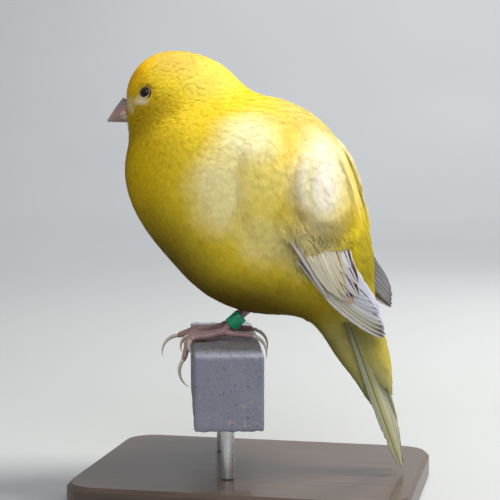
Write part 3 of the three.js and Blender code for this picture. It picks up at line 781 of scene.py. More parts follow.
def over_wing(points):
    """How far the wing's long feathers stand over the coat where the points are."""
    cell = np.clip(wing_cell(points), 0, np.array(WING_CELLS) - 1)
    left, right = (wing_height[side][cell[:, 0], cell[:, 1]] for side in (-1, 1))
    return np.where(points[:, 1] < 0, left, right)


# Coat. Small soft body feathers that overlap from the bill to the tail, each a fan of fine tapered
# barbs of solid mesh. They are shortest round the bill, longest on the body and short on the tail,
# and some of those beside the wings lie over the wings' roots.
TAIL_AIM = np.array([46.0, 0.0, 8.0])


def lie(points, normals):
    """The way that feathers lie: away from the bill on the head, and towards the tail behind it."""
    back = unit(points - BILL_BASE)
    aft = unit(TAIL_AIM - points)
    share = np.clip((from_bill(points) - 14) / 34, 0, 1)[:, None]
    share = share * share * (3 - 2 * share)
    way = back * (1 - share) + aft * share
    way -= normals * (way * normals).sum(1, keepdims=True)
    return unit(way)


UNWRAP_AXIS = unit(np.array([-61.0, 0.0, 72.0]))
UNWRAP_SIDE = np.array([UNWRAP_AXIS[2], 0.0, -UNWRAP_AXIS[0]])
UNWRAP_MIDDLE = np.array([2.0, 0.0, 86.0])


def unwrap(points):
    """The skin rolled off round the body's long axis and cut open along the belly."""
    d = points - UNWRAP_MIDDLE
    along = (d @ UNWRAP_AXIS + 66) / 126
    turn = np.arctan2(d[:, 1], d @ UNWRAP_SIDE) / (2 * math.pi) + 0.5
    return np.stack([0.01 + 0.98 * turn, 0.01 + 0.98 * np.clip(along, 0, 1)], 1)


PATCH = 0.003
COVER_LIFT = 0.45
MOST_COVER = 3.4
ASKEW = 0.13
ROUND_TIP = 0.26
TILT_ASIDE, TILT_ALONG = 0.12, 0.15
GAP_TONE = 0.5

# A barb has four stations along it. The first three have a left and a right point, the last one.
STATIONS = np.array([0.0, 0.34, 0.7, 1.0])
BARB_WIDTH = np.array([0.5, 1.0, 0.85, 0.0])
POINT_STATION = [0, 0, 1, 1, 2, 2, 3]
BARB_POINTS = len(POINT_STATION)


def barb_fans(roots, length, spread, barbs, width, lift, gaps, drape):
    """Feathers whose barbs leave a middle line in turn and end on a round tip. Gives their points,
    triangles, normals, map places, and how far along and how bright each point is."""
    count = len(roots)
    normals = unit(coat_slope(roots))
    way = lie(roots, normals)
    way = unit(way + np.cross(normals, way) * rng.normal(0, ASKEW, (count, 1)))
    side = np.cross(normals, way)
    q = np.linspace(-1, 1, barbs)[None, :] + rng.uniform(-0.6, 0.6, (count, barbs)) / barbs
    t = STATIONS[None, None, :]
    begin = 0.05 + 0.5 * np.clip(1 - np.abs(q), 0, 1)
    finish = (1 - ROUND_TIP * q**2) * rng.uniform(0.86, 1.07, (count, barbs))
    along = begin[..., None] + (finish - begin)[..., None] * t
    aside = (spread[:, None] * q)[..., None] * np.sin(t * math.pi / 2) ** 0.9
    centre = (
        roots[:, None, None, :]
        + way[:, None, None, :] * (length[:, None, None] * along)[..., None]
        + side[:, None, None, :] * aside[..., None]
    )
    depth = coat_depth(roots)[:, None, None]
    stand = lift[:, None, None] + rng.normal(0, 0.03, (count, barbs))[..., None]
    level = -0.5 * depth * (1 - np.clip(along, 0, 1) ** 0.6) + stand * along**1.6
    flat = centre.reshape(-1, 3)
    own_lift = np.broadcast_to(swelling(roots)[:, None, None], along.shape).ravel()
    level = level.ravel() + np.maximum(own_lift - swelling(flat), 0)
    covers = np.broadcast_to(drape[:, None, None], along.shape).ravel()
    rise = np.clip(along.ravel() / 0.4, 0, 1) * covers
    draped = (rise > 0.01) & (over_wing(flat) > 0)
    over = np.minimum(over_wing(flat[draped]), MOST_COVER) + COVER_LIFT
    level[draped] = np.maximum(level[draped], over * rise[draped])
    flat = at_level(flat, level)
    out = unit(coat_slope(flat)).reshape(centre.shape)
    centre = flat.reshape(centre.shape)
    edge = unit(np.cross(out, np.gradient(centre, axis=2)))
    half = (width[:, None, None] * BARB_WIDTH[None, None, :])[..., None] * 0.5
    left, right = centre + edge * half, centre - edge * half
    pairs = np.stack([left[:, :, :3], right[:, :, :3]], 3).reshape(count, barbs, 6, 3)
    points = np.concatenate([pairs, centre[:, :, 3:]], 2).reshape(-1, 3)
    tilt = side[:, None, None, :] * (TILT_ASIDE * q)[..., None, None]
    tilt = tilt + way[:, None, None, :] * (TILT_ALONG * (along - 0.5))[..., None]
    shade = unit(out + tilt + rng.normal(0, 0.015, (count, 1, 1, 3)))
    shade = shade[:, :, POINT_STATION].reshape(-1, 3)
    first = np.arange(count * barbs)[:, None, None] * BARB_POINTS
    strip = np.array([[0, 1, 3], [0, 3, 2], [2, 3, 5], [2, 5, 4], [4, 5, 6]])
    faces = (first + strip[None]).reshape(-1, 3)
    spot = unwrap(roots)[:, None, None, :]
    uv = np.empty((count, barbs, BARB_POINTS, 2))
    uv[..., 0] = spot[..., 0] + q[..., None] * PATCH / 2
    uv[..., 1] = spot[..., 1] + (along[:, :, POINT_STATION] - 0.5) * PATCH
    tone = 1 + rng.normal(0, 0.02, (count, 1)) + rng.normal(0, 0.04, q.shape)
    tone = np.where(rng.random(q.shape) < gaps[:, None], GAP_TONE, tone)
    return (
        points,
        faces,
        shade,
        uv.reshape(-1, 2),
        along[:, :, POINT_STATION].ravel(),
        np.repeat(tone.ravel(), BARB_POINTS),
    )


# The skin's even points and faces are the places where a feather may grow, thinned out until each
# has its own space, which is least on the face.
centres = np.empty(len(skin.data.polygons) * 3, np.float32)
skin.data.polygons.foreach_get("center", centres)
places = np.concatenate([skin_points, centres.reshape(-1, 3).astype(float) / MM])
places = places + rng.normal(0, 0.12, places.shape)
space = np.interp(from_bill(places), [4, 10, 18, 30, 50, 80], [0.44, 0.5, 0.62, 0.8, 0.98, 1.05])
neighbours = kdtree.KDTree(len(places))
for index, place in enumerate(places):
    neighbours.insert(place, index)
neighbours.balance()
free = np.ones(len(places), bool)
chosen = []
for index in rng.permutation(len(places)):
    if free[index]:
        chosen.append(index)
        for _, taken, _ in neighbours.find_range(places[index], space[index]):
            free[taken] = False
roots = places[chosen]

# No feather grows at the bill, on the eyes, or on the blunt end of the skin over the tail.
eye_centres = {-1: np.array([-30.35, -10.95, 120.2]), 1: np.array([-33.85, 8.95, 120.2])}
BARE_AT_BILL, BARE_AT_EYE = 2.4, 2.15
END_FACING, END_TOP = 0.4, 50
clear = from_bill(roots) > BARE_AT_BILL
for centre in eye_centres.values():
    clear &= np.linalg.norm(roots - centre, axis=1) > BARE_AT_EYE
end_cap = (unit(coat_slope(roots)) * unit(TAIL_AIM - roots)).sum(1) > END_FACING
clear &= ~(end_cap & (roots[:, 2] < END_TOP))
roots = at_level(roots[clear], -coat_depth(roots[clear]))

reach = from_bill(roots)
feather_length = np.interp(reach, [3, 8, 16, 30, 50, 80], [0.9, 1.5, 2.5, 4.2, 6.4, 7.4])
feather_length *= rng.uniform(0.85, 1.15, len(roots))
feather_length *= np.interp(roots[:, 2], [28, 38, 50], [0.35, 0.6, 1.0])
feather_spread = feather_length * np.interp(reach, [3, 30], [0.26, 0.31])
feather_spread *= np.interp(roots[:, 2], [36, 54], [0.4, 1.0])
feather_width = np.interp(reach, [3, 12, 30, 60], [0.11, 0.15, 0.19, 0.23])
feather_lift = rng.normal(0.06, 0.06, len(roots)) * np.interp(reach, [4, 14, 50], [0.15, 0.4, 1.0])

# Loose feathers stand off the flank just ahead of the folded wing.
LOOSE_X, LOOSE_Z = 13.5, 71
LOOSE_LIFT, LOOSE_LONGER = 0.8, 0.5
loose = np.exp(-(((roots[:, 0] - LOOSE_X) / 3.5) ** 2) - ((roots[:, 2] - LOOSE_Z) / 4) ** 2)
feather_lift += LOOSE_LIFT * loose * rng.random(len(roots))
feather_length *= 1 + LOOSE_LONGER * loose

# Those that grow above the hem beside a wing lie over it. The hem is uneven, as soft feathers are.
HEM_X, HEM_Z = [10, 14, 18, 24, 30], [85.5, 84, 80, 77.5, 79.5]
HEM_WAVE, HEM_SPREAD = 1.3, 4


def beside_wing(side, front, back):
    """Which feathers grow on this side of the bird between the two places along it."""
    return (roots[:, 0] > front) & (roots[:, 0] < back) & (side * roots[:, 1] > 4)


hem = np.interp(roots[:, 0], HEM_X, HEM_Z)
hem += HEM_WAVE * np.sin(1.3 * roots[:, 0]) + rng.uniform(-HEM_SPREAD, HEM_SPREAD, len(roots))
by_a_wing = beside_wing(-1, 7, 28) | beside_wing(1, 7, 26)
feather_drape = (by_a_wing & (roots[:, 2] > hem)).astype(float)

# Dark barbs show in gaps on the cheek and among the streaks of the wing's soft coverts.
CHEEK, CHEEK_REACH = [-21, 0, 114], [7, 40, 6]
CHEEK_GAPS, STREAK_GAPS = 0.08, 0.22
cheek = np.exp(-(((roots - CHEEK) / CHEEK_REACH) ** 2).sum(1))
streaked = (roots[:, 0] > 12) & (roots[:, 0] < 28) & (roots[:, 2] > 72) & (roots[:, 2] < 86)
feather_gaps = CHEEK_GAPS * cheek + STREAK_GAPS * streaked

HEAD_BARBS, BODY_BARBS = 13, 21
FINE_REGIONS = ("coat_face", "coat_cheek_left", "coat_cheek_right")
COAT_REGIONS = {
    "coat_face": (-37, 0, 117),
    "coat_crown": (-22, 0, 130),
    "coat_cheek_left": (-27, -11, 112),
    "coat_cheek_right": (-27, 11, 112),
    "coat_breast_left": (-26, -18, 92),
    "coat_breast_right": (-26, 18, 92),
    "coat_side_left": (-2, -26, 92),
    "coat_side_right": (-2, 26, 92),
    "coat_belly": (-6, 0, 60),
    "coat_flank_left": (12, -18, 68),
    "coat_flank_right": (12, 18, 68),
    "coat_mantle": (4, 0, 118),
    "coat_back": (26, 0, 98),
    "coat_rump": (34, 0, 74),
    "coat_vent": (28, 0, 46),
    "coat_pad_left": (24, -24, 94),
    "coat_pad_right": (24, 24, 94),
}
middles = np.array(list(COAT_REGIONS.values()), float)
nearest = np.linalg.norm(roots[:, None] - middles[None], axis=2).argmin(1)
plumage_coat = coat_material("plumage_barbs", tufted=True)
for index, name in enumerate(COAT_REGIONS):
    here = nearest == index
    barbs = HEAD_BARBS if name in FINE_REGIONS else BODY_BARBS
    points, faces, shade, uv, along, tone = barb_fans(
        roots[here],
        feather_length[here],
        feather_spread[here],
        barbs,
        feather_width[here],
        feather_lift[here],
        feather_gaps[here],
        feather_drape[here],
    )
    region = mesh_piece(name, points, faces, shade, uv, along=along, tone=tone)
    region.data.materials.append(plumage_coat)
    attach(region, "root")

# Eyes. A glossy, nearly black brown ball in each side of the head, set in a thin ring of bare,
# wrinkled lid. The lid is dark above and cream below.
EYE_RADIUS = 1.95
LID_RADIUS, LID_THICKNESS, LID_OUT = 1.7, 0.2, 1.12
eye_finish, tree = new_material("eye_wet_dark")
place = node(tree, "TexCoord").outputs["Object"]
mottle = node(tree, "TexNoise", {"Vector": place, "Scale": 1800.0})
eye_colour = colour_mix(tree, mottle.outputs[0], (0.006, 0.003, 0.002), (0.02, 0.009, 0.005))
finish_material(tree, eye_colour, 0.03, fixed={"Specular IOR Level": 0.2})

lid_finish, tree = new_material("lid_bare_skin")
place = node(tree, "TexCoord").outputs["Object"]
wrinkle = node(tree, "TexVoronoi", {"Vector": place, "Scale": 3500.0})
lid_colour = colour_mix(tree, wrinkle.outputs["Distance"], (0.05, 0.038, 0.024), (0.13, 0.10, 0.06))
height = node(tree, "SeparateXYZ", {0: place}).outputs[2]
lower = ramp(tree, height, 0.1202, 0.1192)
lid_colour = colour_mix(tree, lower, lid_colour, (0.62, 0.52, 0.34))
finish_material(tree, lid_colour, 0.6, (wrinkle.outputs["Distance"], 0.4, 0.0001))

for side, word in ((-1, "left"), (1, "right")):
    centre = eye_centres[side]
    out = unit(coat_slope(centre[None]))[0]
    bpy.ops.object.select_all(action="DESELECT")
    bpy.ops.mesh.primitive_uv_sphere_add(segments=48, ring_count=32, radius=EYE_RADIUS * MM)
    eye = bpy.context.object
    eye.name = "eyeball_" + word
    eye.location = centre * MM
    bpy.ops.object.transform_apply(location=True)
    bpy.ops.object.shade_smooth()
    eye.data.materials.append(eye_finish)
    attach(eye, "root")
    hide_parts("eye_" + word)
    bpy.ops.object.select_all(action="DESELECT")
    bpy.ops.mesh.primitive_torus_add(
        major_segments=64,
        minor_segments=14,
        major_radius=LID_RADIUS * MM,
        minor_radius=LID_THICKNESS * MM,
    )
    lid = bpy.context.object
    lid.name = "lid_" + word
    turn = np.arctan2(out[1], out[0])
    pitch = math.acos(out[2])
    lid.scale = (0.96, 1.06, 1.0)
    lid.rotation_euler = (0, pitch, turn)
    lid.location = (centre + out * LID_OUT) * MM
    bpy.ops.object.transform_apply(location=True, rotation=True, scale=True)
    bpy.ops.object.shade_smooth()
    lid.data.materials.append(lid_finish)
    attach(lid, "root")

# Bill. A stout pinkish cone with a curved ridge, in two mandibles that close along the mouth's
# line, greyer along the ridge and paler at the tip.
BILL_TIP = np.array([-18.3, 0.0, -6.9])
BILL_FALL = math.radians(27)
BILL_LENGTH = 9.5
BILL_BLUNT, BILL_FLARE, BILL_CURVE = 0.16, 0.67, 0.017
BILL_NARROW = 0.86
MOUTH_HALF_GAP = 0.07
bill_root = BILL_TIP + BILL_LENGTH * np.array([math.cos(BILL_FALL), 0, math.sin(BILL_FALL)])


def limb(name, centres, half, up, sides):
    """A round-ended limb along a line of points: rings of the half sizes given, closed at the ends."""
    along = unit(np.gradient(centres, axis=0))
    across = unit(np.cross(np.broadcast_to(up, along.shape), along))
    over = np.cross(along, across)
    angle = np.arange(sides) * 2 * math.pi / sides
    ring = (
        centres[:, None]
        + across[:, None] * (half[:, 0, None] * np.cos(angle))[..., None]
        + over[:, None] * (half[:, 1, None] * np.sin(angle))[..., None]
    )
    rings = len(centres)
    points = np.concatenate([ring.reshape(-1, 3), centres[:1], centres[-1:]])
    triangles = []
    for i in range(rings - 1):
        for j in range(sides):
            k = (j + 1) % sides
            a, b = i * sides + j, i * sides + k
            triangles.append((a, b, b + sides))
            triangles.append((a, b + sides, a + sides))
    for j in range(sides):
        k = (j + 1) % sides
        triangles.append((rings * sides, k, j))
        last = (rings - 1) * sides
        triangles.append((rings * sides + 1, last + j, last + k))
    return mesh_piece(name, points, np.array(triangles))


def cosine_steps(count):
    """Shares from nearly 0 to nearly 1 that stand closer together towards both ends."""
    return (1 - np.cos(np.linspace(0.02, math.pi - 0.02, count))) / 2


bill_steps = cosine_steps(60)
bill_back = BILL_LENGTH * (1 - bill_steps)
bill_size = np.sqrt(BILL_BLUNT + (BILL_FLARE * bill_back - BILL_CURVE * bill_back**2) ** 2)
bill_size = bill_size * np.minimum(1, bill_back / 0.25) * np.minimum(1, bill_steps * 5)
bill_line = np.array([from_head(*(bill_root + (BILL_TIP - bill_root) * t)) for t in bill_steps])
bill_half = np.stack([bill_size * BILL_NARROW, bill_size], 1)

horn, tree = new_material("bill_horn")
place = node(tree, "TexCoord").outputs["Object"]
cloud = node(tree, "TexNoise", {"Vector": place, "Scale": 420.0, "Detail": 4.0})
horn_colour = colour_mix(tree, cloud.outputs[0], (0.21, 0.13, 0.11), (0.34, 0.22, 0.18))
parts = node(tree, "SeparateXYZ", {0: place})
ridge = ramp(tree, parts.outputs[2], 0.1155, 0.1185, 0.0, 0.85)
horn_colour = colour_mix(tree, ridge, horn_colour, (0.10, 0.10, 0.14))
tip = ramp(tree, parts.outputs[0], -0.0425, -0.0455, 0.0, 0.5)
horn_colour = colour_mix(tree, tip, horn_colour, (0.40, 0.31, 0.27))
# A pale spot at the gape is a painted highlight.
gape_at = tuple(from_head(-12.6, -2.0, -4.9) * MM)
gape_highlight = node(tree, "VectorMath", {0: place, 1: gape_at}, operation="DISTANCE").outputs["Value"]
gape_highlight = ramp(tree, gape_highlight, 0.0008, 0.0018, 0.8, 0.0)
horn_colour = colour_mix(tree, gape_highlight, horn_colour, (0.58, 0.46, 0.40))
fixed = {"Subsurface Weight": 0.15, "Subsurface Radius": (0.001, 0.0005, 0.0003)}
finish_material(tree, horn_colour, 0.38, (cloud.outputs[0], 0.3, 0.0002), fixed)

mouth_point = from_head(-18.6, 0, -6.75) * MM
mouth_slope = math.radians(16)
mouth_up = from_head(-math.sin(mouth_slope), 0, math.cos(mouth_slope)) - from_head(0, 0, 0)
for name, keep_above, node_name in (
    ("mandible_upper", True, "bill_upper"),
    ("mandible_lower", False, "bill_lower"),
):
    mandible = limb(name, bill_line, bill_half, (0, 0, 1), 56)
    bpy.ops.object.select_all(action="DESELECT")
    mandible.select_set(True)
    bpy.context.view_layer.objects.active = mandible
    bpy.ops.object.mode_set(mode="EDIT")
    bpy.ops.mesh.select_all(action="SELECT")
    offset = MOUTH_HALF_GAP if keep_above else -MOUTH_HALF_GAP
    bpy.ops.mesh.bisect(
        plane_co=mouth_point + mouth_up * offset * MM,
        plane_no=mouth_up,
        use_fill=True,
        clear_inner=keep_above,
        clear_outer=not keep_above,
    )
    bpy.ops.object.mode_set(mode="OBJECT")
    mandible.data.materials.append(horn)
    bpy.ops.object.shade_smooth_by_angle(angle=math.radians(50))
    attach(mandible, "root")
    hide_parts(node_name)

# Tail. Twelve narrow feathers, six on each side of a steep roof that hangs behind the rail. The
# middle pair lies on top, and the outer ones are the longest.
TAIL_FALL = math.radians(69.5)
TAIL_ROOT = np.array([31.5, 0, 57])
TAIL_TILT = {-1: math.radians(43), 1: math.radians(50)}
TAIL_HALF = 2.2
TAIL_COUNT = 6
TAIL_LENGTH, TAIL_LONGER = 37, 11
TAIL_LAYERS = 1.2
tail_way = np.array([math.cos(TAIL_FALL), 0, -math.sin(TAIL_FALL)])
tail_up = np.array([-tail_way[2], 0, tail_way[0]])


def tail_vane(side, share):
    """One tail feather's upper face, from the middle one at share 0 to the outer one at 1."""
    tilt = TAIL_TILT[side]
    down = -tail_up * math.sin(tilt) + np.array([0, side * math.cos(tilt), 0])
    up = np.cross(tail_way, down) * -side
    length = TAIL_LENGTH + TAIL_LONGER * share + rng.uniform(-0.4, 0.4)
    q = ACROSS[None, :] * frayed(ALONG, ACROSS)
    along = ALONG[:, None]
    root_out = 1.3 + 4.3 * share
    tip_out = 1.5 + 4.4 * share
    out = root_out + (tip_out - root_out) * along
    away = out + q * TAIL_HALF * vane_width(ALONG, 2.0)[:, None]
    lift = (1 - share) * TAIL_LAYERS + 0.2 * q - 0.15 * q * q
    place = (
        TAIL_ROOT
        + tail_way * (length * along)[..., None]
        + down * away[..., None]
        + up * lift[..., None]
    )
    return place, np.broadcast_to(up, place.shape)


tail_finish = vane_material(
    "tail_vane",
    base=(0.32, 0.31, 0.12),
    edge=(0.42, 0.41, 0.28),
    inner=(0.25, 0.26, 0.18),
    shaft=(0.09, 0.07, 0.05),
    streak=0.35,
)
for side, word in ((-1, "left"), (1, "right")):
    vanes = [tail_vane(side, i / (TAIL_COUNT - 1)) for i in range(TAIL_COUNT)]
    piece = joined_vanes("tail_" + word, vanes, VANE_THICKNESS, flip=side < 0)
    piece.data.materials.append(tail_finish)
    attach(piece, "root")
    if side < 0:
        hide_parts("tail")

# Legs and feet. Thin legs of dull pink skin in stepped plates, each with three toes ahead over the
# rail and one behind. The toes are fused at the ankle and end in long, curved claws of pale horn.
RAIL_X, RAIL_TOP, RAIL_TURN = -9.4, 47, math.radians(15)
FOOT_SPREAD, FOOT_AHEAD, FOOT_STAGGER, FOOT_HEIGHT = 7, -0.3, 0.6, 2.7
LEG_RISE = math.radians(41)


def on_rail(x, y, z):
    """A place given from the middle of the rail's top, along and across the rail."""
    c, s = math.cos(RAIL_TURN), math.sin(RAIL_TURN)
    return np.array([RAIL_X + c * x - s * y, s * x + c * y, RAIL_TOP + z])


leg_way = np.array(
    [
        math.cos(LEG_RISE) * math.cos(RAIL_TURN),
        math.cos(LEG_RISE) * math.sin(RAIL_TURN),
        math.sin(LEG_RISE),
    ]
)

# Each toe: how far it splays in degrees, its length, how far it lies flat, how far it droops in
# degrees, and its claw's length and lift.
TOES = {
    -1: {
        "inner": (22, 11.5, 8, 40, 7, 20),
        "middle": (0, 17.5, 7.4, 76, 10.3, 28),
        "outer": (-20, 11, 7.6, 62, 5.8, 0),
        "hind": (183, 9, 5, 8, 10, 0),
    },
    1: {
        "inner": (-20, 11.5, 8, 45, 7, 20),
        "middle": (-3, 15.6, 7.5, 22, 9.4, 22),
        "outer": (20, 12, 8, 45, 7, 20),
        "hind": (178, 9, 5, 8, 10, 0),
    },
}


def smooth(value, low, high):
    """Goes softly from 0 to 1 while the value goes from low to high."""
    share = min(1.0, max(0.0, (value - low) / (high - low)))
    return share * share * (3 - 2 * share)


def toe_line(side, splay, length, flat, droop, steps=60):
    """The toe's middle line: down from the ankle to the rail, flat along it, then drooping over."""
    point = np.array([FOOT_AHEAD + side * FOOT_STAGGER, side * FOOT_SPREAD, FOOT_HEIGHT], float)
    line = [on_rail(*point)]
    turn = math.radians(splay)
    for i in range(steps):
        s = length * (i + 0.5) / steps
        pitch = math.radians(13) * (1 - smooth(s, 2, 7.5))
        pitch += math.radians(droop) * smooth(s, flat, flat + 4.5)
        way = np.array(
            [-math.cos(turn) * math.cos(pitch), math.sin(turn) * math.cos(pitch), -math.sin(pitch)]
        )
        point = point + way * length / steps
        line.append(on_rail(*point))
    return np.array(line)


def plated(t, plates, step):
    """A limb's size along it, which grows along each plate and steps back at its end."""
    return 1 + step * ((t * plates) % 1)


leg_skin, tree = new_material("leg_scaly_skin")
place = node(tree, "TexCoord").outputs["Object"]
scales = node(tree, "TexVoronoi", {"Vector": place, "Scale": 2100.0})
cloud = node(tree, "TexNoise", {"Vector": place, "Scale": 260.0, "Detail": 5.0})
leg_colour = colour_mix(tree, cloud.outputs[0], (0.26, 0.14, 0.14), (0.52, 0.36, 0.35))
crease = ramp(tree, scales.outputs["Distance"], 0.25, 0.6, 0.0, 0.5)
leg_colour = colour_mix(tree, crease, leg_colour, (0.20, 0.10, 0.10))
fixed = {"Subsurface Weight": 0.1, "Subsurface Radius": (0.0008, 0.0004, 0.0003)}
finish_material(tree, leg_colour, 0.5, (scales.outputs["Distance"], 0.35, 0.0001), fixed)

claw_horn, tree = new_material("claw_horn")
place = node(tree, "TexCoord").outputs["Object"]
grain = node(tree, "TexNoise", {"Vector": place, "Scale": 700.0, "Detail": 3.0})
claw_colour = colour_mix(tree, grain.outputs[0], (0.34, 0.27, 0.20), (0.68, 0.62, 0.52))
fixed = {"Subsurface Weight": 0.2, "Subsurface Radius": (0.0008, 0.0006, 0.0004)}
finish_material(tree, claw_colour, 0.32, fixed=fixed)

CLAW_TURN = math.radians(108)
CLAW_ROOT = 0.8
CLAW_STEPS = 40
CLAW_BASE = 0.06
TOE_THICK, TOE_TAPER = 1.14, 0.3
TOE_PLATES, MIDDLE_TOE_PLATES, SHANK_PLATES = 8, 11, 12
SHANK_LENGTH = 17.5
ANKLE_RADIUS = 1.4
FOOT_GRID = 0.13
for side, word in ((-1, "left"), (1, "right")):
    ankle = on_rail(FOOT_AHEAD + side * FOOT_STAGGER, side * FOOT_SPREAD, FOOT_HEIGHT)
    toes = []
    for name, (splay, length, flat, droop, claw, lift) in TOES[side].items():
        line = toe_line(side, splay, length, flat, droop)
        t = np.linspace(0, 1, len(line))
        end = np.minimum(1, np.sqrt(np.minimum(t + 0.004, 1.004 - t) * 12))
        plates = MIDDLE_TOE_PLATES if name == "middle" else TOE_PLATES
        size = (TOE_THICK - TOE_TAPER * t) * plated(t, plates, 0.13) * end
        toes.append(limb("toe", line, np.stack([size, size * 0.95], 1), (0, 0, 1), 20))
        way = unit(line[-1] - line[-2])
        level = unit(np.array([-way[1], way[0], 0]))
        angle = math.radians(-lift)
        way = way * math.cos(angle) + np.cross(level, way) * math.sin(angle)
        across = unit(np.array([way[1], -way[0], 0]))
        down = np.cross(way, across)
        if down[2] > 0:
            down = -down
        radius = claw / CLAW_TURN
        bend = np.linspace(0, CLAW_TURN, CLAW_STEPS)
        start = line[int(len(line) * 0.94)]
        curve = (
            start
            + np.sin(bend)[:, None] * way * radius
            + (1 - np.cos(bend))[:, None] * down * radius
        )
        share = np.linspace(0, 1, CLAW_STEPS)
        past_base = np.maximum(share - CLAW_BASE, 0) / (1 - CLAW_BASE)
        size = CLAW_ROOT * np.where(share < CLAW_BASE, np.sqrt(share / CLAW_BASE), 1 - past_base**1.6)
        size = np.maximum(size, 0.03)
        horned = limb(f"nail_{word}_{name}", curve, np.stack([size * 0.75, size], 1), across, 16)
        horned.data.materials.append(claw_horn)
        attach(horned, "root")
        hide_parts(f"claw_{word}_{name}")
    t = np.linspace(0, 1, 90)
    end = np.minimum(1, np.sqrt(np.minimum(t + 0.002, 1.002 - t) * 30))
    size = plated(1 - t, SHANK_PLATES, 0.12) * end
    shank_line = ankle + leg_way * (0.2 + SHANK_LENGTH * t)[:, None]
    shank = limb("shank_" + word, shank_line, np.stack([size, size], 1), (0, 0, 1), 28)
    shank.data.materials.append(leg_skin)
    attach(shank, "root")
    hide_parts("leg_" + word)
    bpy.ops.object.select_all(action="DESELECT")
    bpy.ops.mesh.primitive_uv_sphere_add(
        segments=24, ring_count=16, radius=ANKLE_RADIUS * MM, location=ankle * MM
    )
    toes.append(bpy.context.object)
    bpy.ops.object.transform_apply(location=True)
    for toe in toes:
        toe.select_set(True)
    bpy.ops.object.join()
    foot = bpy.context.object
    foot.name = "toes_" + word
    fuse = foot.modifiers.new("fuse", "REMESH")
    fuse.mode = "VOXEL"
    fuse.voxel_size = FOOT_GRID * MM
    bpy.ops.object.modifier_apply(modifier="fuse")
    even = foot.modifiers.new("even", "SMOOTH")
    even.iterations = 2
    bpy.ops.object.modifier_apply(modifier="even")
    bpy.ops.object.shade_smooth()
    foot.data.materials.append(leg_skin)
    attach(foot, "root")
    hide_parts("foot_" + word)

# Leg ring. A plain green closed ring, slightly worn, that sits loosely on the left leg. It is a
# cylinder with a bore and rounded rims.
RING = {"outer": 2.2, "inner": 1.65, "height": 4.4, "along": 5.1, "rim": 0.16}
left_ankle = on_rail(FOOT_AHEAD - FOOT_STAGGER, -FOOT_SPREAD, FOOT_HEIGHT)
bpy.ops.object.select_all(action="DESELECT")
bpy.ops.mesh.primitive_cylinder_add(
    vertices=64, radius=RING["outer"] * MM, depth=RING["height"] * MM, end_fill_type="NGON"
)
ring = bpy.context.object
ring.name = "ring_band"
bpy.ops.object.mode_set(mode="EDIT")
bpy.ops.mesh.select_mode(type="FACE")
bpy.ops.mesh.select_all(action="DESELECT")
bpy.ops.object.mode_set(mode="OBJECT")
for face in ring.data.polygons:
    face.select = abs(face.normal.z) > 0.9
bpy.ops.object.mode_set(mode="EDIT")
bpy.ops.mesh.inset(thickness=(RING["outer"] - RING["inner"]) * MM)
bpy.ops.mesh.bridge_edge_loops()
bpy.ops.object.mode_set(mode="OBJECT")
round_off = ring.modifiers.new("rims", "BEVEL")
round_off.width = RING["rim"] * MM
round_off.segments = 3
round_off.limit_method = "ANGLE"
bpy.ops.object.modifier_apply(modifier="rims")
ring.rotation_euler = (0, math.pi / 2 - LEG_RISE, RAIL_TURN)
ring.location = (left_ankle + leg_way * RING["along"]) * MM
bpy.ops.object.transform_apply(location=True, rotation=True)
bpy.ops.object.shade_smooth_by_angle(angle=math.radians(40))
ring_green, tree = new_material("ring_green")
place = node(tree, "TexCoord").outputs["Object"]
scuff = node(tree, "TexNoise", {"Vector": place, "Scale": 900.0, "Detail": 5.0})
worn = ramp(tree, scuff.outputs[0], 0.5, 0.75, 0.0, 0.5)
ring_colour = colour_mix(tree, worn, (0.001, 0.27, 0.12), (0.02, 0.42, 0.24))
rough = ramp(tree, scuff.outputs[0], 0.4, 0.7, 0.25, 0.5)
finish_material(tree, ring_colour, rough)
ring.data.materials.append(ring_green)
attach(ring, "root")
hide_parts("leg_ring")

# Rail. A short cut of softwood rail with eased edges. Its grey-blue paint is cracked and flaked to
# bare wood in specks, and sandy grit lies where the bird stands.
RAIL = {"width": 20, "height": 22, "length": 70, "edge": 0.9}
RAIL_SKIN = 0.95
bpy.ops.object.select_all(action="DESELECT")
bpy.ops.mesh.primitive_cube_add(size=1)
rail = bpy.context.object
rail.name = "rail_timber"
rail.scale = (RAIL["width"] * MM, RAIL["length"] * MM, RAIL["height"] * MM)
bpy.ops.object.transform_apply(scale=True)
arris = rail.modifiers.new("arris", "BEVEL")
arris.width = RAIL["edge"] * MM
arris.segments = 3
bpy.ops.object.modifier_apply(modifier="arris")
bpy.ops.object.mode_set(mode="EDIT")
bpy.ops.mesh.select_all(action="SELECT")
bpy.ops.mesh.subdivide(number_cuts=24)
bpy.ops.object.mode_set(mode="OBJECT")
rail_points = place_of(rail)
wear = 0.12 * np.sin(rail_points[:, 1] * 0.9 + 3 * np.sin(rail_points[:, 0] * 0.5))
wear += 0.10 * np.sin(rail_points[:, 0] * 2.3 + rail_points[:, 1] * 0.21) - 0.12
inward = np.zeros_like(rail_points)
for axis, across in ((0, RAIL["width"]), (2, RAIL["height"])):
    outermost = np.abs(rail_points[:, axis]) > across / 2 - RAIL_SKIN
    inward[:, axis] = np.sign(rail_points[:, axis]) * outermost
rail_points = rail_points + inward * np.minimum(wear, 0)[:, None]
rail.data.vertices.foreach_set("co", (rail_points * MM).astype(np.float32).ravel())
rail.rotation_euler = (0, 0, RAIL_TURN)
rail.location = (RAIL_X * MM, 0, (RAIL_TOP - RAIL["height"] / 2) * MM)
bpy.ops.object.transform_apply(location=True, rotation=True)
bpy.ops.object.shade_smooth_by_angle(angle=math.radians(40))
painted, tree = new_material("weathered_paint")
place = node(tree, "TexCoord").outputs["Object"]
turned = node(tree, "Mapping", {"Vector": place, "Rotation": (0, 0, -RAIL_TURN)})
fibre = node(tree, "Mapping", {"Vector": turned.outputs[0], "Scale": (900.0, 60.0, 900.0)})
grain = node(tree, "TexNoise", {"Vector": fibre.outputs[0], "Scale": 1.0, "Detail": 6.0})
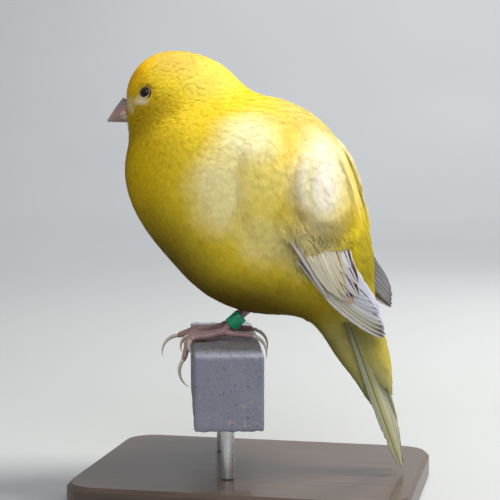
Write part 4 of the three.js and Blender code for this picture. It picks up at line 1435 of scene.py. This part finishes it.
cloud = node(tree, "TexNoise", {"Vector": place, "Scale": 130.0, "Detail": 6.0})
paint = colour_mix(tree, cloud.outputs[0], (0.08, 0.10, 0.15), (0.21, 0.22, 0.28))
paint = colour_mix(tree, grain.outputs[0], paint, (0.17, 0.17, 0.20))
crack = ramp(tree, grain.outputs[0], 0.60, 0.68, 0.0, 0.7)
paint = colour_mix(tree, crack, paint, (0.05, 0.055, 0.06))
flake = node(tree, "TexNoise", {"Vector": place, "Scale": 420.0, "Detail": 6.0, "Roughness": 0.7})
bare = ramp(tree, flake.outputs[0], 0.60, 0.64, 0.0, 0.8)
paint = colour_mix(tree, bare, paint, (0.30, 0.24, 0.20))
grit = node(tree, "TexVoronoi", {"Vector": place, "Scale": 1500.0})
speck = ramp(tree, grit.outputs["Distance"], 0.45, 0.2)
stand_at = node(
    tree,
    "VectorMath",
    {0: place, 1: (-0.0075, -0.008, RAIL_TOP * MM)},
    operation="DISTANCE",
)
near = ramp(tree, stand_at.outputs["Value"], 0.021, 0.010)
patch = node(tree, "TexNoise", {"Vector": place, "Scale": 260.0, "Detail": 4.0})
patchy = ramp(tree, patch.outputs[0], 0.42, 0.58)
worn = node(tree, "Math", {0: near, 1: patchy}, operation="MULTIPLY")
sand = colour_mix(tree, speck, (0.20, 0.16, 0.14), (0.44, 0.35, 0.28))
paint = colour_mix(tree, worn.outputs[0], paint, sand)
rough = ramp(tree, worn.outputs[0], 0.0, 1.0, 0.12, 1.0)
grit = node(tree, "Math", {0: grit.outputs["Distance"], 1: rough}, operation="MULTIPLY").outputs[0]
height = node(tree, "Math", {0: grain.outputs[0], 1: grit}, operation="ADD")
finish_material(tree, paint, 0.72, (height.outputs[0], 0.5, 0.0003))
rail.data.materials.append(painted)
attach(rail, "root")
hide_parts("perch_rail")

# Stand. A flat base of dark stained wood with rounded corners, and two brushed steel rods that hold
# the rail over it. They are the solids themselves with their own finishes.
stained, tree = new_material("stained_wood")
place = node(tree, "TexCoord").outputs["Object"]
fibre = node(tree, "Mapping", {"Vector": place, "Scale": (40.0, 500.0, 500.0)})
grain = node(tree, "TexNoise", {"Vector": fibre.outputs[0], "Scale": 1.0, "Detail": 8.0})
wood = colour_mix(tree, grain.outputs[0], (0.020, 0.012, 0.008), (0.085, 0.052, 0.034))
finish_material(tree, wood, 0.38, (grain.outputs[0], 0.2, 0.0002), {"Coat Weight": 0.25})
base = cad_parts["stand_base"]
base.data.materials.clear()
base.data.materials.append(stained)

steel, tree = new_material("brushed_steel")
place = node(tree, "TexCoord").outputs["Object"]
brush = node(tree, "Mapping", {"Vector": place, "Scale": (400.0, 400.0, 9000.0)})
lines = node(tree, "TexNoise", {"Vector": brush.outputs[0], "Scale": 1.0, "Detail": 2.0})
shine = ramp(tree, lines.outputs[0], 0.3, 0.7, 0.22, 0.42)
finish_material(tree, (0.60, 0.60, 0.61, 1), shine, fixed={"Metallic": 1.0})
for name in ("stand_rod_front", "stand_rod_back"):
    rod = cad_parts[name]
    rod.data.materials.clear()
    rod.data.materials.append(steel)

# Studio. A plain pale floor that curves up at the back. A key light stands to the upper right, a
# wide soft fill in front and a small rim light behind, and one more lights the back of the floor.
FLOOR_SIZE = 5
FLOOR_RISE = 3
FLOOR_CURVE = 1.4
bpy.ops.object.select_all(action="DESELECT")
bpy.ops.mesh.primitive_plane_add(size=FLOOR_SIZE, location=(0, 0, -0.0002))
floor = bpy.context.object
floor.name = "floor"
bpy.ops.object.transform_apply(location=True)
bpy.ops.object.mode_set(mode="EDIT")
bpy.ops.mesh.select_mode(type="EDGE")
bpy.ops.mesh.select_all(action="DESELECT")
bpy.ops.object.mode_set(mode="OBJECT")
for edge in floor.data.edges:
    edge.select = all(floor.data.vertices[i].co.y > 2 for i in edge.vertices)
bpy.ops.object.mode_set(mode="EDIT")
bpy.ops.mesh.extrude_region_move(TRANSFORM_OT_translate={"value": (0, 0, FLOOR_RISE)})
bpy.ops.mesh.select_all(action="DESELECT")
bpy.ops.object.mode_set(mode="OBJECT")
for edge in floor.data.edges:
    ends = [floor.data.vertices[i].co for i in edge.vertices]
    edge.select = all(end.y > 2 and end.z < 0.1 for end in ends)
bpy.ops.object.mode_set(mode="EDIT")
bpy.ops.mesh.bevel(offset=FLOOR_CURVE, segments=24)
bpy.ops.object.mode_set(mode="OBJECT")
bpy.ops.object.shade_smooth()
pale, tree = new_material("floor_pale")
place = node(tree, "TexCoord").outputs["Object"]
cloud = node(tree, "TexNoise", {"Vector": place, "Scale": 3.0})
paper = colour_mix(tree, cloud.outputs[0], (0.28, 0.29, 0.30), (0.31, 0.32, 0.33))
finish_material(tree, paper, 0.9)
floor.data.materials.append(pale)


def soft_light(name, place, aim, size, power, colour):
    """A round soft light at a place, turned towards its aim."""
    bpy.ops.object.light_add(type="AREA", location=place)
    light = bpy.context.object
    light.name = name
    way = np.array(aim) - np.array(place)
    flat = math.hypot(way[0], way[1])
    light.rotation_euler = (math.atan2(flat, -way[2]), 0, math.atan2(way[1], way[0]) - math.pi / 2)
    light.data.shape = "DISK"
    light.data.size = size
    light.data.energy = power
    light.data.color = colour


soft_light("key", (0.30, 0.06, 0.66), (0, 0, 0.09), 0.28, 8.5, (1.0, 0.97, 0.90))
soft_light("fill", (0.22, -0.8, 0.8), (0, 0, 0.08), 0.8, 7.4, (0.97, 0.98, 1.0))
soft_light("rim", (0.22, 0.50, 0.42), (0, 0, 0.08), 0.2, 2.2, (1.0, 0.98, 0.94))
soft_light("backdrop", (0, 0.8, 1.6), (0, 2.5, 0.9), 1.0, 56.0, (1.0, 1.0, 1.0))
world = bpy.data.worlds.new("studio")
scene.world = world
world.use_nodes = True
sky = world.node_tree.nodes["Background"]
sky.inputs[0].default_value = (0.90, 0.92, 0.94, 1)
sky.inputs[1].default_value = 0.42
scene.view_settings.view_transform = "Standard"
